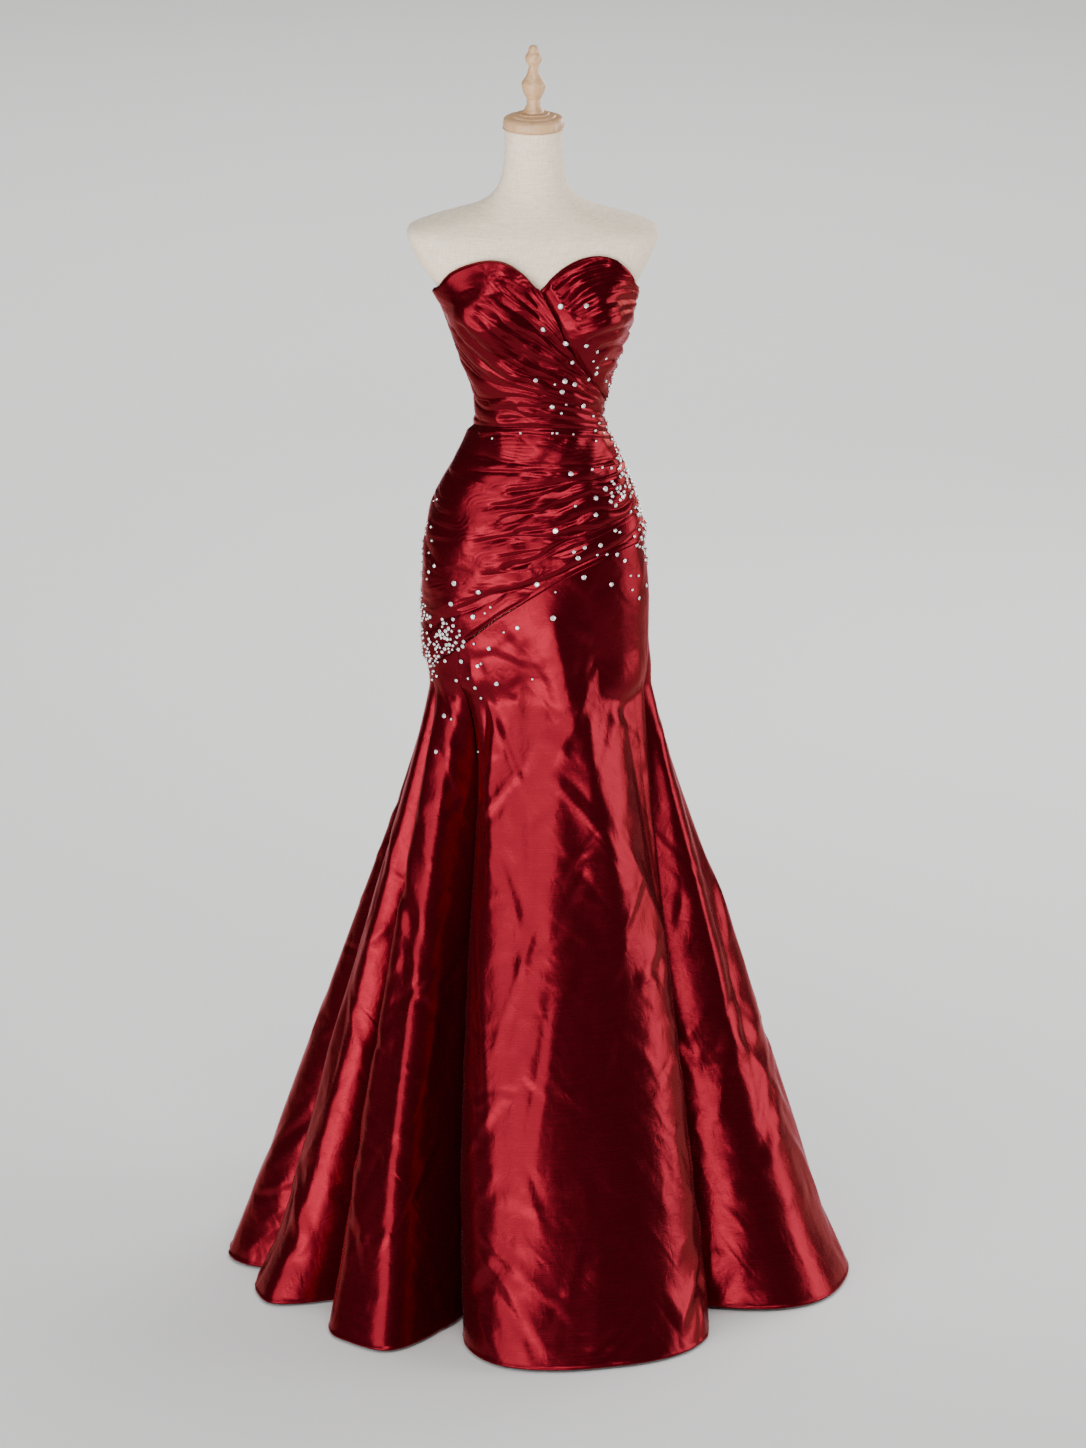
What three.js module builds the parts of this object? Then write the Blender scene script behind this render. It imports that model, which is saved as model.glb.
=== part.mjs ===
// Strapless mermaid prom dress in taffeta, standing on a limbless dress form.
// Millimetres. +Z is up, -Y is the front, +X is the wearer's left. The origin is on the floor,
// under the middle of the stand. Angles go round the Z axis in degrees: 0 is the front, 90 is +X.
import * as THREE from 'three';

// Cloth and gaps
const WALL = 1.8;            // taffeta, its lining and the seam allowances, as one wall
const BODY_GAP = 1.3;        // from the form to the inside of the cloth
const SEAM = 0.3;            // between two pieces at a seam
const HEM_Z = 5;             // lowest edge of the skirt, just clear of the floor
const SIDE_SEAM = 96;        // angle of both side seams of the bodice

// The figure from the hips to the neck: half width, shift of its middle towards +X,
// depth to the front and to the back, and how square the section is (2 is an ellipse)
const FIGURE = table(['z', 'half', 'shift', 'front', 'back', 'square'], [
  [905, 150, 4, 98, 106, 2.1],
  [940, 156, 5, 102, 112, 2.1],
  [1000, 158, 5, 104, 117, 2.1],
  [1046, 159, 4, 105, 121, 2.1],
  [1091, 156, 3.5, 104, 122, 2.1],
  [1136, 151, 3.5, 102, 118, 2.1],
  [1181, 142, 3.5, 97, 110, 2.1],
  [1211, 130, 5, 92, 102, 2.1],
  [1241, 116, 6, 87, 93, 2.1],
  [1271, 99.5, 8, 82, 84, 2.1],
  [1301, 90, 9, 79, 79, 2.1],
  [1320, 88.5, 9, 79, 78, 2.1],
  [1345, 92, 9, 82, 80, 2.1],
  [1375, 100, 8, 87, 85, 2.15],
  [1405, 111, 8, 92, 90, 2.2],
  [1440, 123, 8.5, 95, 94, 2.3],
  [1479, 134, 8, 96, 96, 2.5],
  [1508, 146, 3, 93, 95, 2.6],
  [1537, 164, 0, 88, 92, 2.7],
  [1560, 174, -1, 82, 88, 2.7],
  [1578, 180, -1, 77, 83, 2.6],
  [1587, 176, -1, 74, 80, 2.5],
  [1592, 167, 0, 71, 77, 2.45],
  [1600, 144, 0, 66, 71, 2.4],
  [1610, 108, 0, 60, 65, 2.3],
  [1618, 84, 0, 56, 60, 2.2],
  [1631, 63, 0, 50, 54, 2.1],
  [1648, 50.5, 0, 45, 48, 2],
  [1670, 44, 0, 42, 43.5, 2],
  [1700, 41.5, 0, 41, 41.5, 2],
  [1731, 41, 0, 41, 41, 2],
]);
// The bust of the gown's cups; the form's own is smaller, so the cups stand off it
const BUST = { side: 68, z: 1474, out: 30, form: 18, wide: 44, above: 50, below: 46 };

// Seams and edges on the figure: the height of each line at angles round the body
const NECKLINE = table(['angle', 'z'], [
  [-180, 1472], [-140, 1474], [-110, 1483], [-SIDE_SEAM, 1494], [-78, 1505], [-66, 1516],
  [-56, 1541], [-47, 1554], [-35, 1559], [-22, 1554], [-8, 1539], [5, 1519],
  [18, 1540], [34, 1557], [48, 1564], [57, 1559], [63, 1541], [70, 1517],
  [80, 1505], [SIDE_SEAM, 1494], [110, 1483], [140, 1474], [180, 1472],
]);
const WRAP_EDGE = table(['angle', 'z'], [
  [5, 1519], [10.5, 1485], [19.5, 1441], [36, 1397], [58, 1362], [80, 1337], [SIDE_SEAM, 1322],
]);
const WRAP_FOOT = table(['angle', 'z'], [
  [-SIDE_SEAM, 1466], [-76, 1440], [-60, 1404], [-35, 1380], [5, 1363], [50, 1335], [SIDE_SEAM, 1302],
]);
const WAIST_SEAM = table(['angle', 'z'], [
  [-SIDE_SEAM, 1292], [-82, 1298], [-30, 1311], [5, 1313], [50, 1302], [SIDE_SEAM, 1282],
]);
const HIP_SEAM = table(['angle', 'z'], [
  [-180, 1035], [-150, 992], [-120, 950], [-SIDE_SEAM, 938], [-74, 953], [-64, 968], [-47, 1002],
  [-26, 1039], [17, 1092], [45, 1117], [63, 1129], [SIDE_SEAM, 1130], [125, 1108], [155, 1072],
  [180, 1035],
]);
const PEAK_ANGLE = -35;      // top of the wrapped cup, where its free edge starts
const NOTCH_ANGLE = 5;       // foot of the sweetheart notch

// Pleats and gathers: how many, the tallest, how far the piece's upper edge stands proud, the
// share of a pleat's own width that its height may be, and the seeds of their uneven widths
const PLEATS = {
  wrap: { count: 9, height: 4.2, lip: 2.6, share: 0.42, seed: 1.3 },
  cup: { count: 7, height: 3.2, lip: 0.8, share: 0.36, seed: 2.1 },
  midriff: { count: 10, height: 2.8, lip: 0, share: 0.4, seed: 0.7 },
  hips: { count: 12, height: 4.4, lip: 0, share: 0.36, seed: 3.2 },
};
const CUP = { turn: 78, clear: 0.8 };  // angle where its foot leaves the wrap; gap to the wrap
const FOOT_LIP = 2.2;        // how far the lower edge of the hip drape stands off the skirt
const COLUMNS = 18;          // steps of a draped piece from one side seam to the other
const CUP_COLUMNS = 12;

// Skirt folds. A valley lies between two lobes: its angle at the hip and at the hem, its radius
// at the hem, the height where the flare starts, and how early it deepens (small is early)
const VALLEYS = table(['name', 'top', 'hem', 'radius', 'start', 'early'], [
  ['centre back', -180, -180, 430, 960, 1.2],
  ['back 1', -154, -156, 406, 950, 1.2],
  ['back 2', -135, -132, 422, 940, 1.3],
  ['back 3', -116, -110, 388, 930, 1.1],
  ['side right seam', -98, -85, 372, 925, 1.1],
  ['front right deep', -80, -62, 272, 930, 0.85],
  ['front deep', -56, -25.5, 188, 930, 0.7],
  ['front left deep', 86, 54, 275, 985, 1.0],
  ['side left seam', 112, 108, 405, 990, 1.2],
  ['back 4', 136, 131, 424, 985, 1.3],
  ['back 5', 157, 159, 402, 975, 1.1],
  ['centre back', 180, 180, 430, 960, 1.2],
]);
// A lobe runs from one valley to the next: its crest radius at either end, how square each
// flank is, and how far its hem kicks out
const LOBES = table(['from', 'to', 'squareFrom', 'squareTo', 'kick'], [
  [478, 488, 2.6, 2, 0],
  [484, 474, 2, 2.8, 0],
  [476, 466, 2.4, 2, 0],
  [462, 452, 2.4, 3, 0],
  [408, 412, 3, 5, 14],
  [398, 410, 2, 8, 6],
  [414, 414, 4, 3.6, 8],
  [430, 474, 3.1, 2.6, 11],
  [472, 484, 2.8, 2, 0],
  [486, 480, 2, 2.4, 0],
  [488, 478, 2.2, 2.8, 0],
]);
const FLARE_POWER = 1.1;     // 1 is a straight cone
const KICK_FROM = 0.86;      // share of the flare's height where a kicked hem begins
const SKIRT_ROWS = 10;
const SKIRT_CROWDING = 1.3;  // rows lie closer together near the hips

// Zip placket: a narrow lap over the centre back
const PLACKET = { width: 13, foot: 1118, lift: 0.4, wall: 1.4 };

// Form, cap, finial and stand. The form is a little smaller than the figure under the cloth,
// and the figure itself above it.
const FORM_SEGMENTS = 40;
const FORM_FOOT = 932;
const FORM_FOOT_ROUND = 6;
const FORM_INSET = { under: 2.6, from: 1480, to: 1600 };
const FORM_SKIPPED = [940, 1046, 1136, 1211, 1320, 1375, 1440];  // levels it doesn't need
const CAP_PROFILE = [
  [0, 1731.3], [40.5, 1731.3], [43, 1734], [43.6, 1739], [42.6, 1744], [39, 1747], [31, 1748.6],
  [30, 1750.4], [22, 1751.6], [21, 1753], [0, 1753],
];
const FINIAL_PROFILE = [
  [0, 1753.3], [14.7, 1753.3], [14.5, 1756], [11.5, 1761], [9.8, 1766], [9.7, 1773], [11, 1775],
  [14.5, 1782], [16.6, 1790], [17.2, 1794], [16, 1798], [12, 1804], [9, 1810], [7.3, 1817],
  [7.5, 1822], [11, 1827], [12, 1832], [10.6, 1837], [7.8, 1841], [7.4, 1846], [4.5, 1850], [0, 1851],
];
const BASE_RADIUS = 170;
const BASE_HEIGHT = 14;
const POLE_RADIUS = 16;

const RAD = Math.PI / 180;

// Rows with named columns
function table(columns, rows) {
  return rows.map((row) => Object.fromEntries(columns.map((name, i) => [name, row[i]])));
}

const mix = (a, b, t) => a + (b - a) * t;
const clamp = (x, low = 0, high = 1) => Math.min(high, Math.max(low, x));
const smooth = (x) => { const t = clamp(x); return t * t * (3 - 2 * t); };

// Smooth curve through one column of a table, against another column
function along(rows, key, name, value) {
  const last = rows.length - 1;
  const x = clamp(value, rows[0][key], rows[last][key]);
  let i = 0;
  while (i < last - 1 && rows[i + 1][key] < x) i += 1;
  const slope = (j) => {
    const a = rows[Math.max(0, j - 1)];
    const b = rows[Math.min(last, j + 1)];
    return (b[name] - a[name]) / (b[key] - a[key]);
  };
  const span = rows[i + 1][key] - rows[i][key];
  const t = (x - rows[i][key]) / span;
  const t2 = t * t;
  const t3 = t2 * t;
  return (2 * t3 - 3 * t2 + 1) * rows[i][name] + (t3 - 2 * t2 + t) * span * slope(i)
    + (3 * t2 - 2 * t3) * rows[i + 1][name] + (t3 - t2) * span * slope(i + 1);
}

// Straight lines between the rows of a table
function linear(rows, key, name, value) {
  const last = rows.length - 1;
  const x = clamp(value, rows[0][key], rows[last][key]);
  let i = 0;
  while (i < last - 1 && rows[i + 1][key] < x) i += 1;
  return mix(rows[i][name], rows[i + 1][name], (x - rows[i][key]) / (rows[i + 1][key] - rows[i][key]));
}

// Radius of the figure at an angle and height
function figureRadius(angle, z, bust = BUST.out) {
  const at = (name) => along(FIGURE, 'z', name, z);
  const sin = Math.sin(angle * RAD);
  const cos = Math.cos(angle * RAD);
  const depth = cos > 0 ? at('front') : at('back');
  const square = at('square');
  const r = (Math.abs(sin / at('half')) ** square + Math.abs(cos / depth) ** square) ** (-1 / square);
  const reach = z > BUST.z ? BUST.above : BUST.below;
  const aside = (Math.abs(r * sin) - BUST.side) / BUST.wide;
  const up = (z - BUST.z) / reach;
  return r + bust * Math.exp(-aside * aside - up * up) * clamp(cos * 1.6);
}

const figureShift = (z) => along(FIGURE, 'z', 'shift', z);

function polar(angle, radius, z, shift) {
  return new THREE.Vector3(shift + radius * Math.sin(angle * RAD), -radius * Math.cos(angle * RAD), z);
}

// A point that stands off the figure
const onFigure = (angle, z, off, bust) => polar(angle, figureRadius(angle, z, bust) + off, z, figureShift(z));

// Closed wall between an outer and an inner grid of points. Both have rows from the foot up and
// columns towards a larger angle; the inner one may have fewer rows, at its own heights.
function wall(outer, inner, outerRows, innerRows) {
  const points = [...outer.flat(), ...inner.flat()];
  const faces = [];
  const columns = outer[0].length;
  const out = (row, column) => row * columns + column;
  const into = (row, column) => outer.length * columns + row * columns + column;
  const quad = (a, b, c, d) => faces.push(a, b, c, a, c, d);
  for (let i = 0; i < columns - 1; i += 1) {
    for (let j = 0; j < outer.length - 1; j += 1) {
      quad(out(j, i), out(j, i + 1), out(j + 1, i + 1), out(j + 1, i));
    }
    for (let j = 0; j < inner.length - 1; j += 1) {
      quad(into(j, i), into(j + 1, i), into(j + 1, i + 1), into(j, i + 1));
    }
    const topOut = outer.length - 1;
    const topIn = inner.length - 1;
    quad(out(0, i), into(0, i), into(0, i + 1), out(0, i + 1));
    quad(out(topOut, i), out(topOut, i + 1), into(topIn, i + 1), into(topIn, i));
  }
  for (const [column, turn] of [[0, false], [columns - 1, true]]) {
    let a = 0;
    let b = 0;
    while (a < outer.length - 1 || b < inner.length - 1) {
      const outerNext = a < outer.length - 1 ? outerRows[a + 1] : Infinity;
      const innerNext = b < inner.length - 1 ? innerRows[b + 1] : Infinity;
      const stepOuter = outerNext <= innerNext;
      const third = stepOuter ? out(a + 1, column) : into(b + 1, column);
      const face = [out(a, column), third, into(b, column)];
      faces.push(...(turn ? face.reverse() : face));
      if (stepOuter) a += 1; else b += 1;
    }
  }
  const geometry = new THREE.BufferGeometry();
  geometry.setAttribute('position', new THREE.Float32BufferAttribute(points.flatMap((p) => [p.x, p.y, p.z]), 3));
  geometry.setIndex(faces);
  return geometry.toNonIndexed();
}

// Four edges, as functions of 0 to 1, filled by a smooth patch of angle and height
function patch(foot, top, left, right) {
  const corners = [foot(0), foot(1), top(0), top(1)];
  return (u, v) => [0, 1].map((k) => (1 - v) * foot(u)[k] + v * top(u)[k]
    + (1 - u) * left(v)[k] + u * right(v)[k]
    - (1 - u) * (1 - v) * corners[0][k] - u * (1 - v) * corners[1][k]
    - (1 - u) * v * corners[2][k] - u * v * corners[3][k]);
}

// A line of a table between two angles, stepped evenly by angle
const seamLine = (rows, from, to, rise = 0) => (t) => {
  const angle = mix(from, to, t);
  return [angle, along(rows, 'angle', 'z', angle) + rise];
};
const upright = (angle, low, high) => (t) => [angle, mix(low, high, t)];

// Several lines one after the other, stepped evenly by their length on the figure
function chain(...lines) {
  const steps = 24;
  const path = lines.flatMap((line, n) => Array.from({ length: steps + (n === lines.length - 1 ? 1 : 0) },
    (_, i) => line(i / steps)));
  const lengths = [0];
  for (let i = 1; i < path.length; i += 1) {
    const a = onFigure(...path[i - 1], 0);
    lengths.push(lengths[i - 1] + a.distanceTo(onFigure(...path[i], 0)));
  }
  const rows = path.map(([angle, z], i) => ({ at: lengths[i] / lengths.at(-1), angle, z }));
  return (t) => [linear(rows, 'at', 'angle', t), linear(rows, 'at', 'z', t)];
}

// Places and heights of uneven pleats across a piece, three rows to a pleat
function pleatRows({ count, seed }) {
  const widths = Array.from({ length: count }, (_, i) => 1 + 0.28 * Math.sin(seed + 2.4 * i));
  const total = widths.reduce((sum, w) => sum + w, 0);
  const rows = [];
  let start = 0;
  widths.forEach((w, i) => {
    const share = w / total;
    const tall = 0.78 + 0.22 * Math.sin(seed * 2 + 1.7 * i);
    for (const [step, rise] of [[0, 0], [0.4, 0.8], [0.82, 1]]) {
      rows.push({ v: start + step * share, share, rise: rise * tall });
    }
    start += share;
  });
  rows.push({ v: 1, share: rows.at(-1).share, rise: 0 });
  return rows;
}

// A draped piece: pleats raised over a plain inside. swell gives their strength along the piece.
function draped(edges, pleats, innerCount, swell, lip, columns = COLUMNS) {
  const place = patch(...edges);
  const rows = pleatRows(pleats);
  const grid = (list, off) => list.map((row) => Array.from({ length: columns + 1 }, (_, i) => {
    const u = i / columns;
    const [angle, z] = place(u, row.v);
    return onFigure(angle, z, off(u, row));
  }));
  const height = (u, row) => {
    const low = onFigure(...place(u, 0), 0);
    const span = low.distanceTo(onFigure(...place(u, 1), 0));
    return Math.min(pleats.height * row.rise, pleats.share * row.share * span * row.rise) * swell(u);
  };
  const innerRows = Array.from({ length: innerCount + 1 }, (_, i) => ({ v: i / innerCount }));
  const outer = grid(rows, (u, row) => BODY_GAP + WALL + Math.max(height(u, row), lip(u, row.v)));
  const inner = grid(innerRows, () => BODY_GAP);
  return wall(outer, inner, rows.map((row) => row.v), innerRows.map((row) => row.v));
}

// Angle that is half a seam wide where the figure is slimmest
const SLIMMEST = 85;
const HALF_SEAM_ANGLE = (SEAM / 2) / SLIMMEST / RAD;
const SLANT_GAP = 0.3;       // half the upright gap at a slanted seam
const HIP_GAP = 0.55;        // the same at the hip seam, which is sampled at other angles above it
const LEFT_END = -SIDE_SEAM + HALF_SEAM_ANGLE;
const RIGHT_END = SIDE_SEAM - HALF_SEAM_ANGLE;
const heightAt = (rows, angle, rise = 0) => along(rows, 'angle', 'z', angle) + rise;

function bodiceWrap() {
  const foot = seamLine(WRAP_FOOT, LEFT_END, RIGHT_END, SLANT_GAP);
  const left = chain(
    upright(LEFT_END, heightAt(WRAP_FOOT, LEFT_END, SLANT_GAP), heightAt(NECKLINE, LEFT_END)),
    seamLine(NECKLINE, LEFT_END, PEAK_ANGLE));
  const top = chain(seamLine(NECKLINE, PEAK_ANGLE, NOTCH_ANGLE), seamLine(WRAP_EDGE, NOTCH_ANGLE, RIGHT_END));
  const right = upright(RIGHT_END, foot(1)[1], top(1)[1]);
  const swell = (u) => smooth(u / 0.12) * mix(1, 0.6, u);
  const lip = (u, v) => PLEATS.wrap.lip * smooth((v - 0.9) / 0.1) * smooth(u / 0.25);
  return draped([foot, top, left, right], PLEATS.wrap, 10, swell, lip);
}

// The cup lies under the wrap's free edge, so it runs along that edge and then to the side seam
function bodiceCup() {
  const left = chain((t) => {
    const angle = mix(CUP.turn, NOTCH_ANGLE, t);
    return [angle + 2 * HALF_SEAM_ANGLE, heightAt(WRAP_EDGE, angle, CUP.clear)];
  });
  const [start, notch] = [left(0), left(1)];
  const corner = [RIGHT_END, heightAt(WRAP_EDGE, RIGHT_END, CUP.clear)];
  const foot = (t) => [mix(start[0], corner[0], t), mix(start[1], corner[1], t)];
  const neck = chain(seamLine(NECKLINE, NOTCH_ANGLE, RIGHT_END));
  const top = (t) => {
    const [angle, z] = neck(t);
    const blend = (1 - t) ** 12;
    return [mix(angle, notch[0], blend), mix(z, notch[1], blend)];
  };
  const right = upright(RIGHT_END, corner[1], top(1)[1]);
  const swell = (u) => smooth(u / 0.06) * mix(1, 0.75, u);
  const lip = (u, v) => PLEATS.cup.lip * smooth((v - 0.92) / 0.08);
  return draped([foot, top, left, right], PLEATS.cup, 10, swell, lip, CUP_COLUMNS);
}

function midriff() {
  const foot = seamLine(WAIST_SEAM, LEFT_END, RIGHT_END, SLANT_GAP);
  const top = seamLine(WRAP_FOOT, LEFT_END, RIGHT_END, -SLANT_GAP);
  const left = upright(LEFT_END, foot(0)[1], top(0)[1]);
  const right = upright(RIGHT_END, foot(1)[1], top(1)[1]);
  return draped([foot, top, left, right], PLEATS.midriff, 7, (u) => mix(0.75, 1, smooth(u)), () => 0);
}

function hipDrape() {
  const foot = seamLine(HIP_SEAM, LEFT_END, RIGHT_END, HIP_GAP);
  const top = seamLine(WAIST_SEAM, LEFT_END, RIGHT_END, -SLANT_GAP);
  const left = upright(LEFT_END, foot(0)[1], top(0)[1]);
  const right = upright(RIGHT_END, foot(1)[1], top(1)[1]);
  const lip = (u, v) => FOOT_LIP * smooth((0.06 - v) / 0.06);
  return draped([foot, top, left, right], PLEATS.hips, 9, (u) => mix(0.6, 1, smooth(u * 1.2)), lip);
}

// Rows of the back panels, shared by the placket that lies on them
const BACK_STEPS = 13;
const BACK_ROWS = Array.from({ length: BACK_STEPS + 1 }, (_, i) => i / BACK_STEPS);
const backRow = (angle, v) => mix(heightAt(HIP_SEAM, angle, HIP_GAP), heightAt(NECKLINE, angle), v);

function bodiceBack(side) {
  const from = side * (SIDE_SEAM + HALF_SEAM_ANGLE);
  const to = side * (180 - HALF_SEAM_ANGLE);
  const [low, high] = side > 0 ? [from, to] : [to, from];
  const columns = 9;
  const grid = (off) => BACK_ROWS.map((v) => Array.from({ length: columns + 1 }, (_, i) => {
    const angle = mix(low, high, i / columns);
    return onFigure(angle, backRow(angle, v), off);
  }));
  return wall(grid(BODY_GAP + WALL), grid(BODY_GAP), BACK_ROWS, BACK_ROWS);
}

function zipPlacket() {
  const rows = BACK_ROWS.filter((v) => backRow(180, v) > PLACKET.foot);
  const half = PLACKET.width / 2;
  const base = BODY_GAP + WALL + PLACKET.lift;
  const grid = (off) => rows.map((v) => [-1, -0.4, 0.4, 1].map((step) => {
    const z = backRow(180, v);
    const angle = 180 + step * half / figureRadius(180, z) / RAD;
    return onFigure(angle, z, off);
  }));
  return wall(grid(base + PLACKET.wall), grid(base), rows, rows);
}

// A point of the skirt's outside. lobe counts the lobes from the centre back; its fraction is
// the share of the way across that lobe.
function skirtPoint(lobe, z) {
  const n = Math.min(LOBES.length - 1, Math.floor(lobe));
  const t = lobe - n;
  const [a, b] = [VALLEYS[n], VALLEYS[n + 1]];
  const start = mix(a.start, b.start, smooth(t));
  const down = clamp((start - z) / (start - HEM_Z));
  const angle = mix(mix(a.top, b.top, t), mix(a.hem, b.hem, t), down);
  const flare = down ** FLARE_POWER;
  const edge = t < 0.5 ? LOBES[n].squareFrom : LOBES[n].squareTo;
  const hollow = Math.abs(2 * t - 1) ** edge;
  const kick = LOBES[n].kick * (1 - hollow) * smooth((down - KICK_FROM) / (1 - KICK_FROM)) ** 2;
  const crest = mix(LOBES[n].from, LOBES[n].to, t);
  const valley = t < 0.5 ? a : b;
  const drop = (crest - mix(a.radius, b.radius, t)) * hollow * down ** valley.early;
  const body = figureRadius(angle, z) + BODY_GAP + WALL;
  return polar(angle, mix(body, crest, flare) - drop + kick, z, figureShift(z) * (1 - flare));
}

const FLANK = 0.002;         // share of a lobe left free at a gore's edge, for the seam
const LOBE_STEPS = {
  soft: [0.16, 0.38, 0.62, 0.84],
  deep: [0.05, 0.12, 0.22, 0.36, 0.5, 0.65, 0.79, 0.9, 0.96],
  wide: [0.03, 0.07, 0.13, 0.2, 0.28, 0.36, 0.44, 0.52, 0.6, 0.68, 0.76, 0.84, 0.9, 0.95],
};

// One gore of the skirt, from one valley to another
function gore(firstLobe, lastLobe, steps) {
  const columns = [];
  for (let n = firstLobe; n <= lastLobe; n += 1) columns.push(n, ...steps.map((t) => n + t));
  columns.push(lastLobe + 1);
  const nudge = (i) => (i === 0 ? FLANK : i === columns.length - 1 ? -FLANK : 0);
  const places = columns.map((lobe, i) => lobe + nudge(i));
  const topOf = (lobe) => {
    const n = Math.min(LOBES.length - 1, Math.floor(lobe));
    const angle = mix(VALLEYS[n].top, VALLEYS[n + 1].top, lobe - n);
    return heightAt(HIP_SEAM, angle, -HIP_GAP);
  };
  const rows = Array.from({ length: SKIRT_ROWS + 1 }, (_, i) => 1 - (1 - i / SKIRT_ROWS) ** SKIRT_CROWDING);
  const small = 0.01;
  const normal = (lobe, z, i) => {
    const aside = i === 0 ? [lobe, lobe + small] : i === places.length - 1 ? [lobe - small, lobe]
      : [lobe - small, lobe + small];
    const across = skirtPoint(aside[1], z).sub(skirtPoint(aside[0], z));
    const up = skirtPoint(lobe, z + 1).sub(skirtPoint(lobe, z - 1));
    return across.cross(up).normalize();
  };
  const grid = (off) => rows.map((v) => places.map((lobe, i) => {
    const z = mix(HEM_Z, topOf(lobe), v);
    const point = skirtPoint(lobe, z);
    const away = normal(lobe, z, i);
    away.z = 0;
    return point.addScaledVector(away.normalize(), off);
  }));
  return wall(grid(0), grid(-WALL), rows, rows);
}

// The form's torso: rings up the figure, with a flat foot and a flat top of the neck
function formTorso() {
  const round = FORM_FOOT_ROUND;
  const upper = FIGURE.filter((row) => row.z > FORM_FOOT && !FORM_SKIPPED.includes(row.z));
  const levels = [[FORM_FOOT, round], [FORM_FOOT + round / 3, round / 3], [FORM_FOOT + round, 0],
    ...upper.map((row) => [row.z, 0])];
  const inset = (z) => FORM_INSET.under * (1 - smooth((z - FORM_INSET.from) / (FORM_INSET.to - FORM_INSET.from)));
  const rings = levels.map(([z, rounding]) => Array.from({ length: FORM_SEGMENTS },
    (_, i) => onFigure(360 * i / FORM_SEGMENTS, z, -inset(z) - rounding, BUST.form)));
  const points = rings.flat();
  const faces = [];
  for (let j = 0; j < rings.length - 1; j += 1) {
    for (let i = 0; i < FORM_SEGMENTS; i += 1) {
      const next = (i + 1) % FORM_SEGMENTS;
      const [a, b] = [j * FORM_SEGMENTS, (j + 1) * FORM_SEGMENTS];
      faces.push(a + i, a + next, b + next, a + i, b + next, b + i);
    }
  }
  for (const [ring, turn] of [[0, true], [rings.length - 1, false]]) {
    const z = rings[ring][0].z;
    points.push(new THREE.Vector3(figureShift(z), 0, z));
    for (let i = 0; i < FORM_SEGMENTS; i += 1) {
      const edge = [ring * FORM_SEGMENTS + i, ring * FORM_SEGMENTS + (i + 1) % FORM_SEGMENTS];
      faces.push(...(turn ? edge.reverse() : edge), points.length - 1);
    }
  }
  const geometry = new THREE.BufferGeometry();
  geometry.setAttribute('position', new THREE.Float32BufferAttribute(points.flatMap((p) => [p.x, p.y, p.z]), 3));
  geometry.setIndex(faces);
  return geometry.toNonIndexed();
}

// A turned piece that stands upright on the axis, from [radius, height] pairs
function turned(profile, segments) {
  return new THREE.LatheGeometry(profile.map(([r, z]) => new THREE.Vector2(r, z)), segments)
    .rotateX(Math.PI / 2);
}

const standBase = () => turned([
  [0, 0], [BASE_RADIUS - 3, 0], [BASE_RADIUS, 3], [BASE_RADIUS, BASE_HEIGHT - 5],
  [BASE_RADIUS - 6, BASE_HEIGHT - 1], [BASE_RADIUS - 14, BASE_HEIGHT], [0, BASE_HEIGHT]], 44);
const standPole = () => turned([
  [0, BASE_HEIGHT], [POLE_RADIUS, BASE_HEIGHT], [POLE_RADIUS, FORM_FOOT], [0, FORM_FOOT]], 24);

const TAFFETA = { color: 0x8e1a2a, roughness: 0.38, metalness: 0.3 };
const LINEN = { color: 0xd9cfc2, roughness: 0.92, metalness: 0 };
const WOOD = { color: 0xd9a878, roughness: 0.5, metalness: 0 };
const STEEL = { color: 0x3a3a3c, roughness: 0.45, metalness: 0.8 };

const dress = new THREE.Group();
function add(name, geometry, finish) {
  const mesh = new THREE.Mesh(geometry, new THREE.MeshStandardMaterial(finish));
  mesh.name = name;
  dress.add(mesh);
}

add('bodice_wrap', bodiceWrap(), TAFFETA);
add('bodice_cup', bodiceCup(), TAFFETA);
add('midriff', midriff(), TAFFETA);
add('hip_drape', hipDrape(), TAFFETA);
add('bodice_back_right', bodiceBack(-1), TAFFETA);
add('bodice_back_left', bodiceBack(1), TAFFETA);
add('zip_placket', zipPlacket(), TAFFETA);
add('skirt_back_right', gore(0, 3, LOBE_STEPS.soft), TAFFETA);
add('skirt_side_right', gore(4, 4, LOBE_STEPS.deep), TAFFETA);
add('skirt_front_right', gore(5, 5, LOBE_STEPS.deep), TAFFETA);
add('skirt_front', gore(6, 6, LOBE_STEPS.wide), TAFFETA);
add('skirt_side_left', gore(7, 7, LOBE_STEPS.deep), TAFFETA);
add('skirt_back_left', gore(8, 10, LOBE_STEPS.soft), TAFFETA);
add('form_torso', formTorso(), LINEN);
add('neck_cap', turned(CAP_PROFILE, 32), WOOD);
add('finial', turned(FINIAL_PROFILE, 20), WOOD);
add('stand_pole', standPole(), STEEL);
add('stand_base', standBase(), WOOD);

export default dress;
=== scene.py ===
import math

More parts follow.
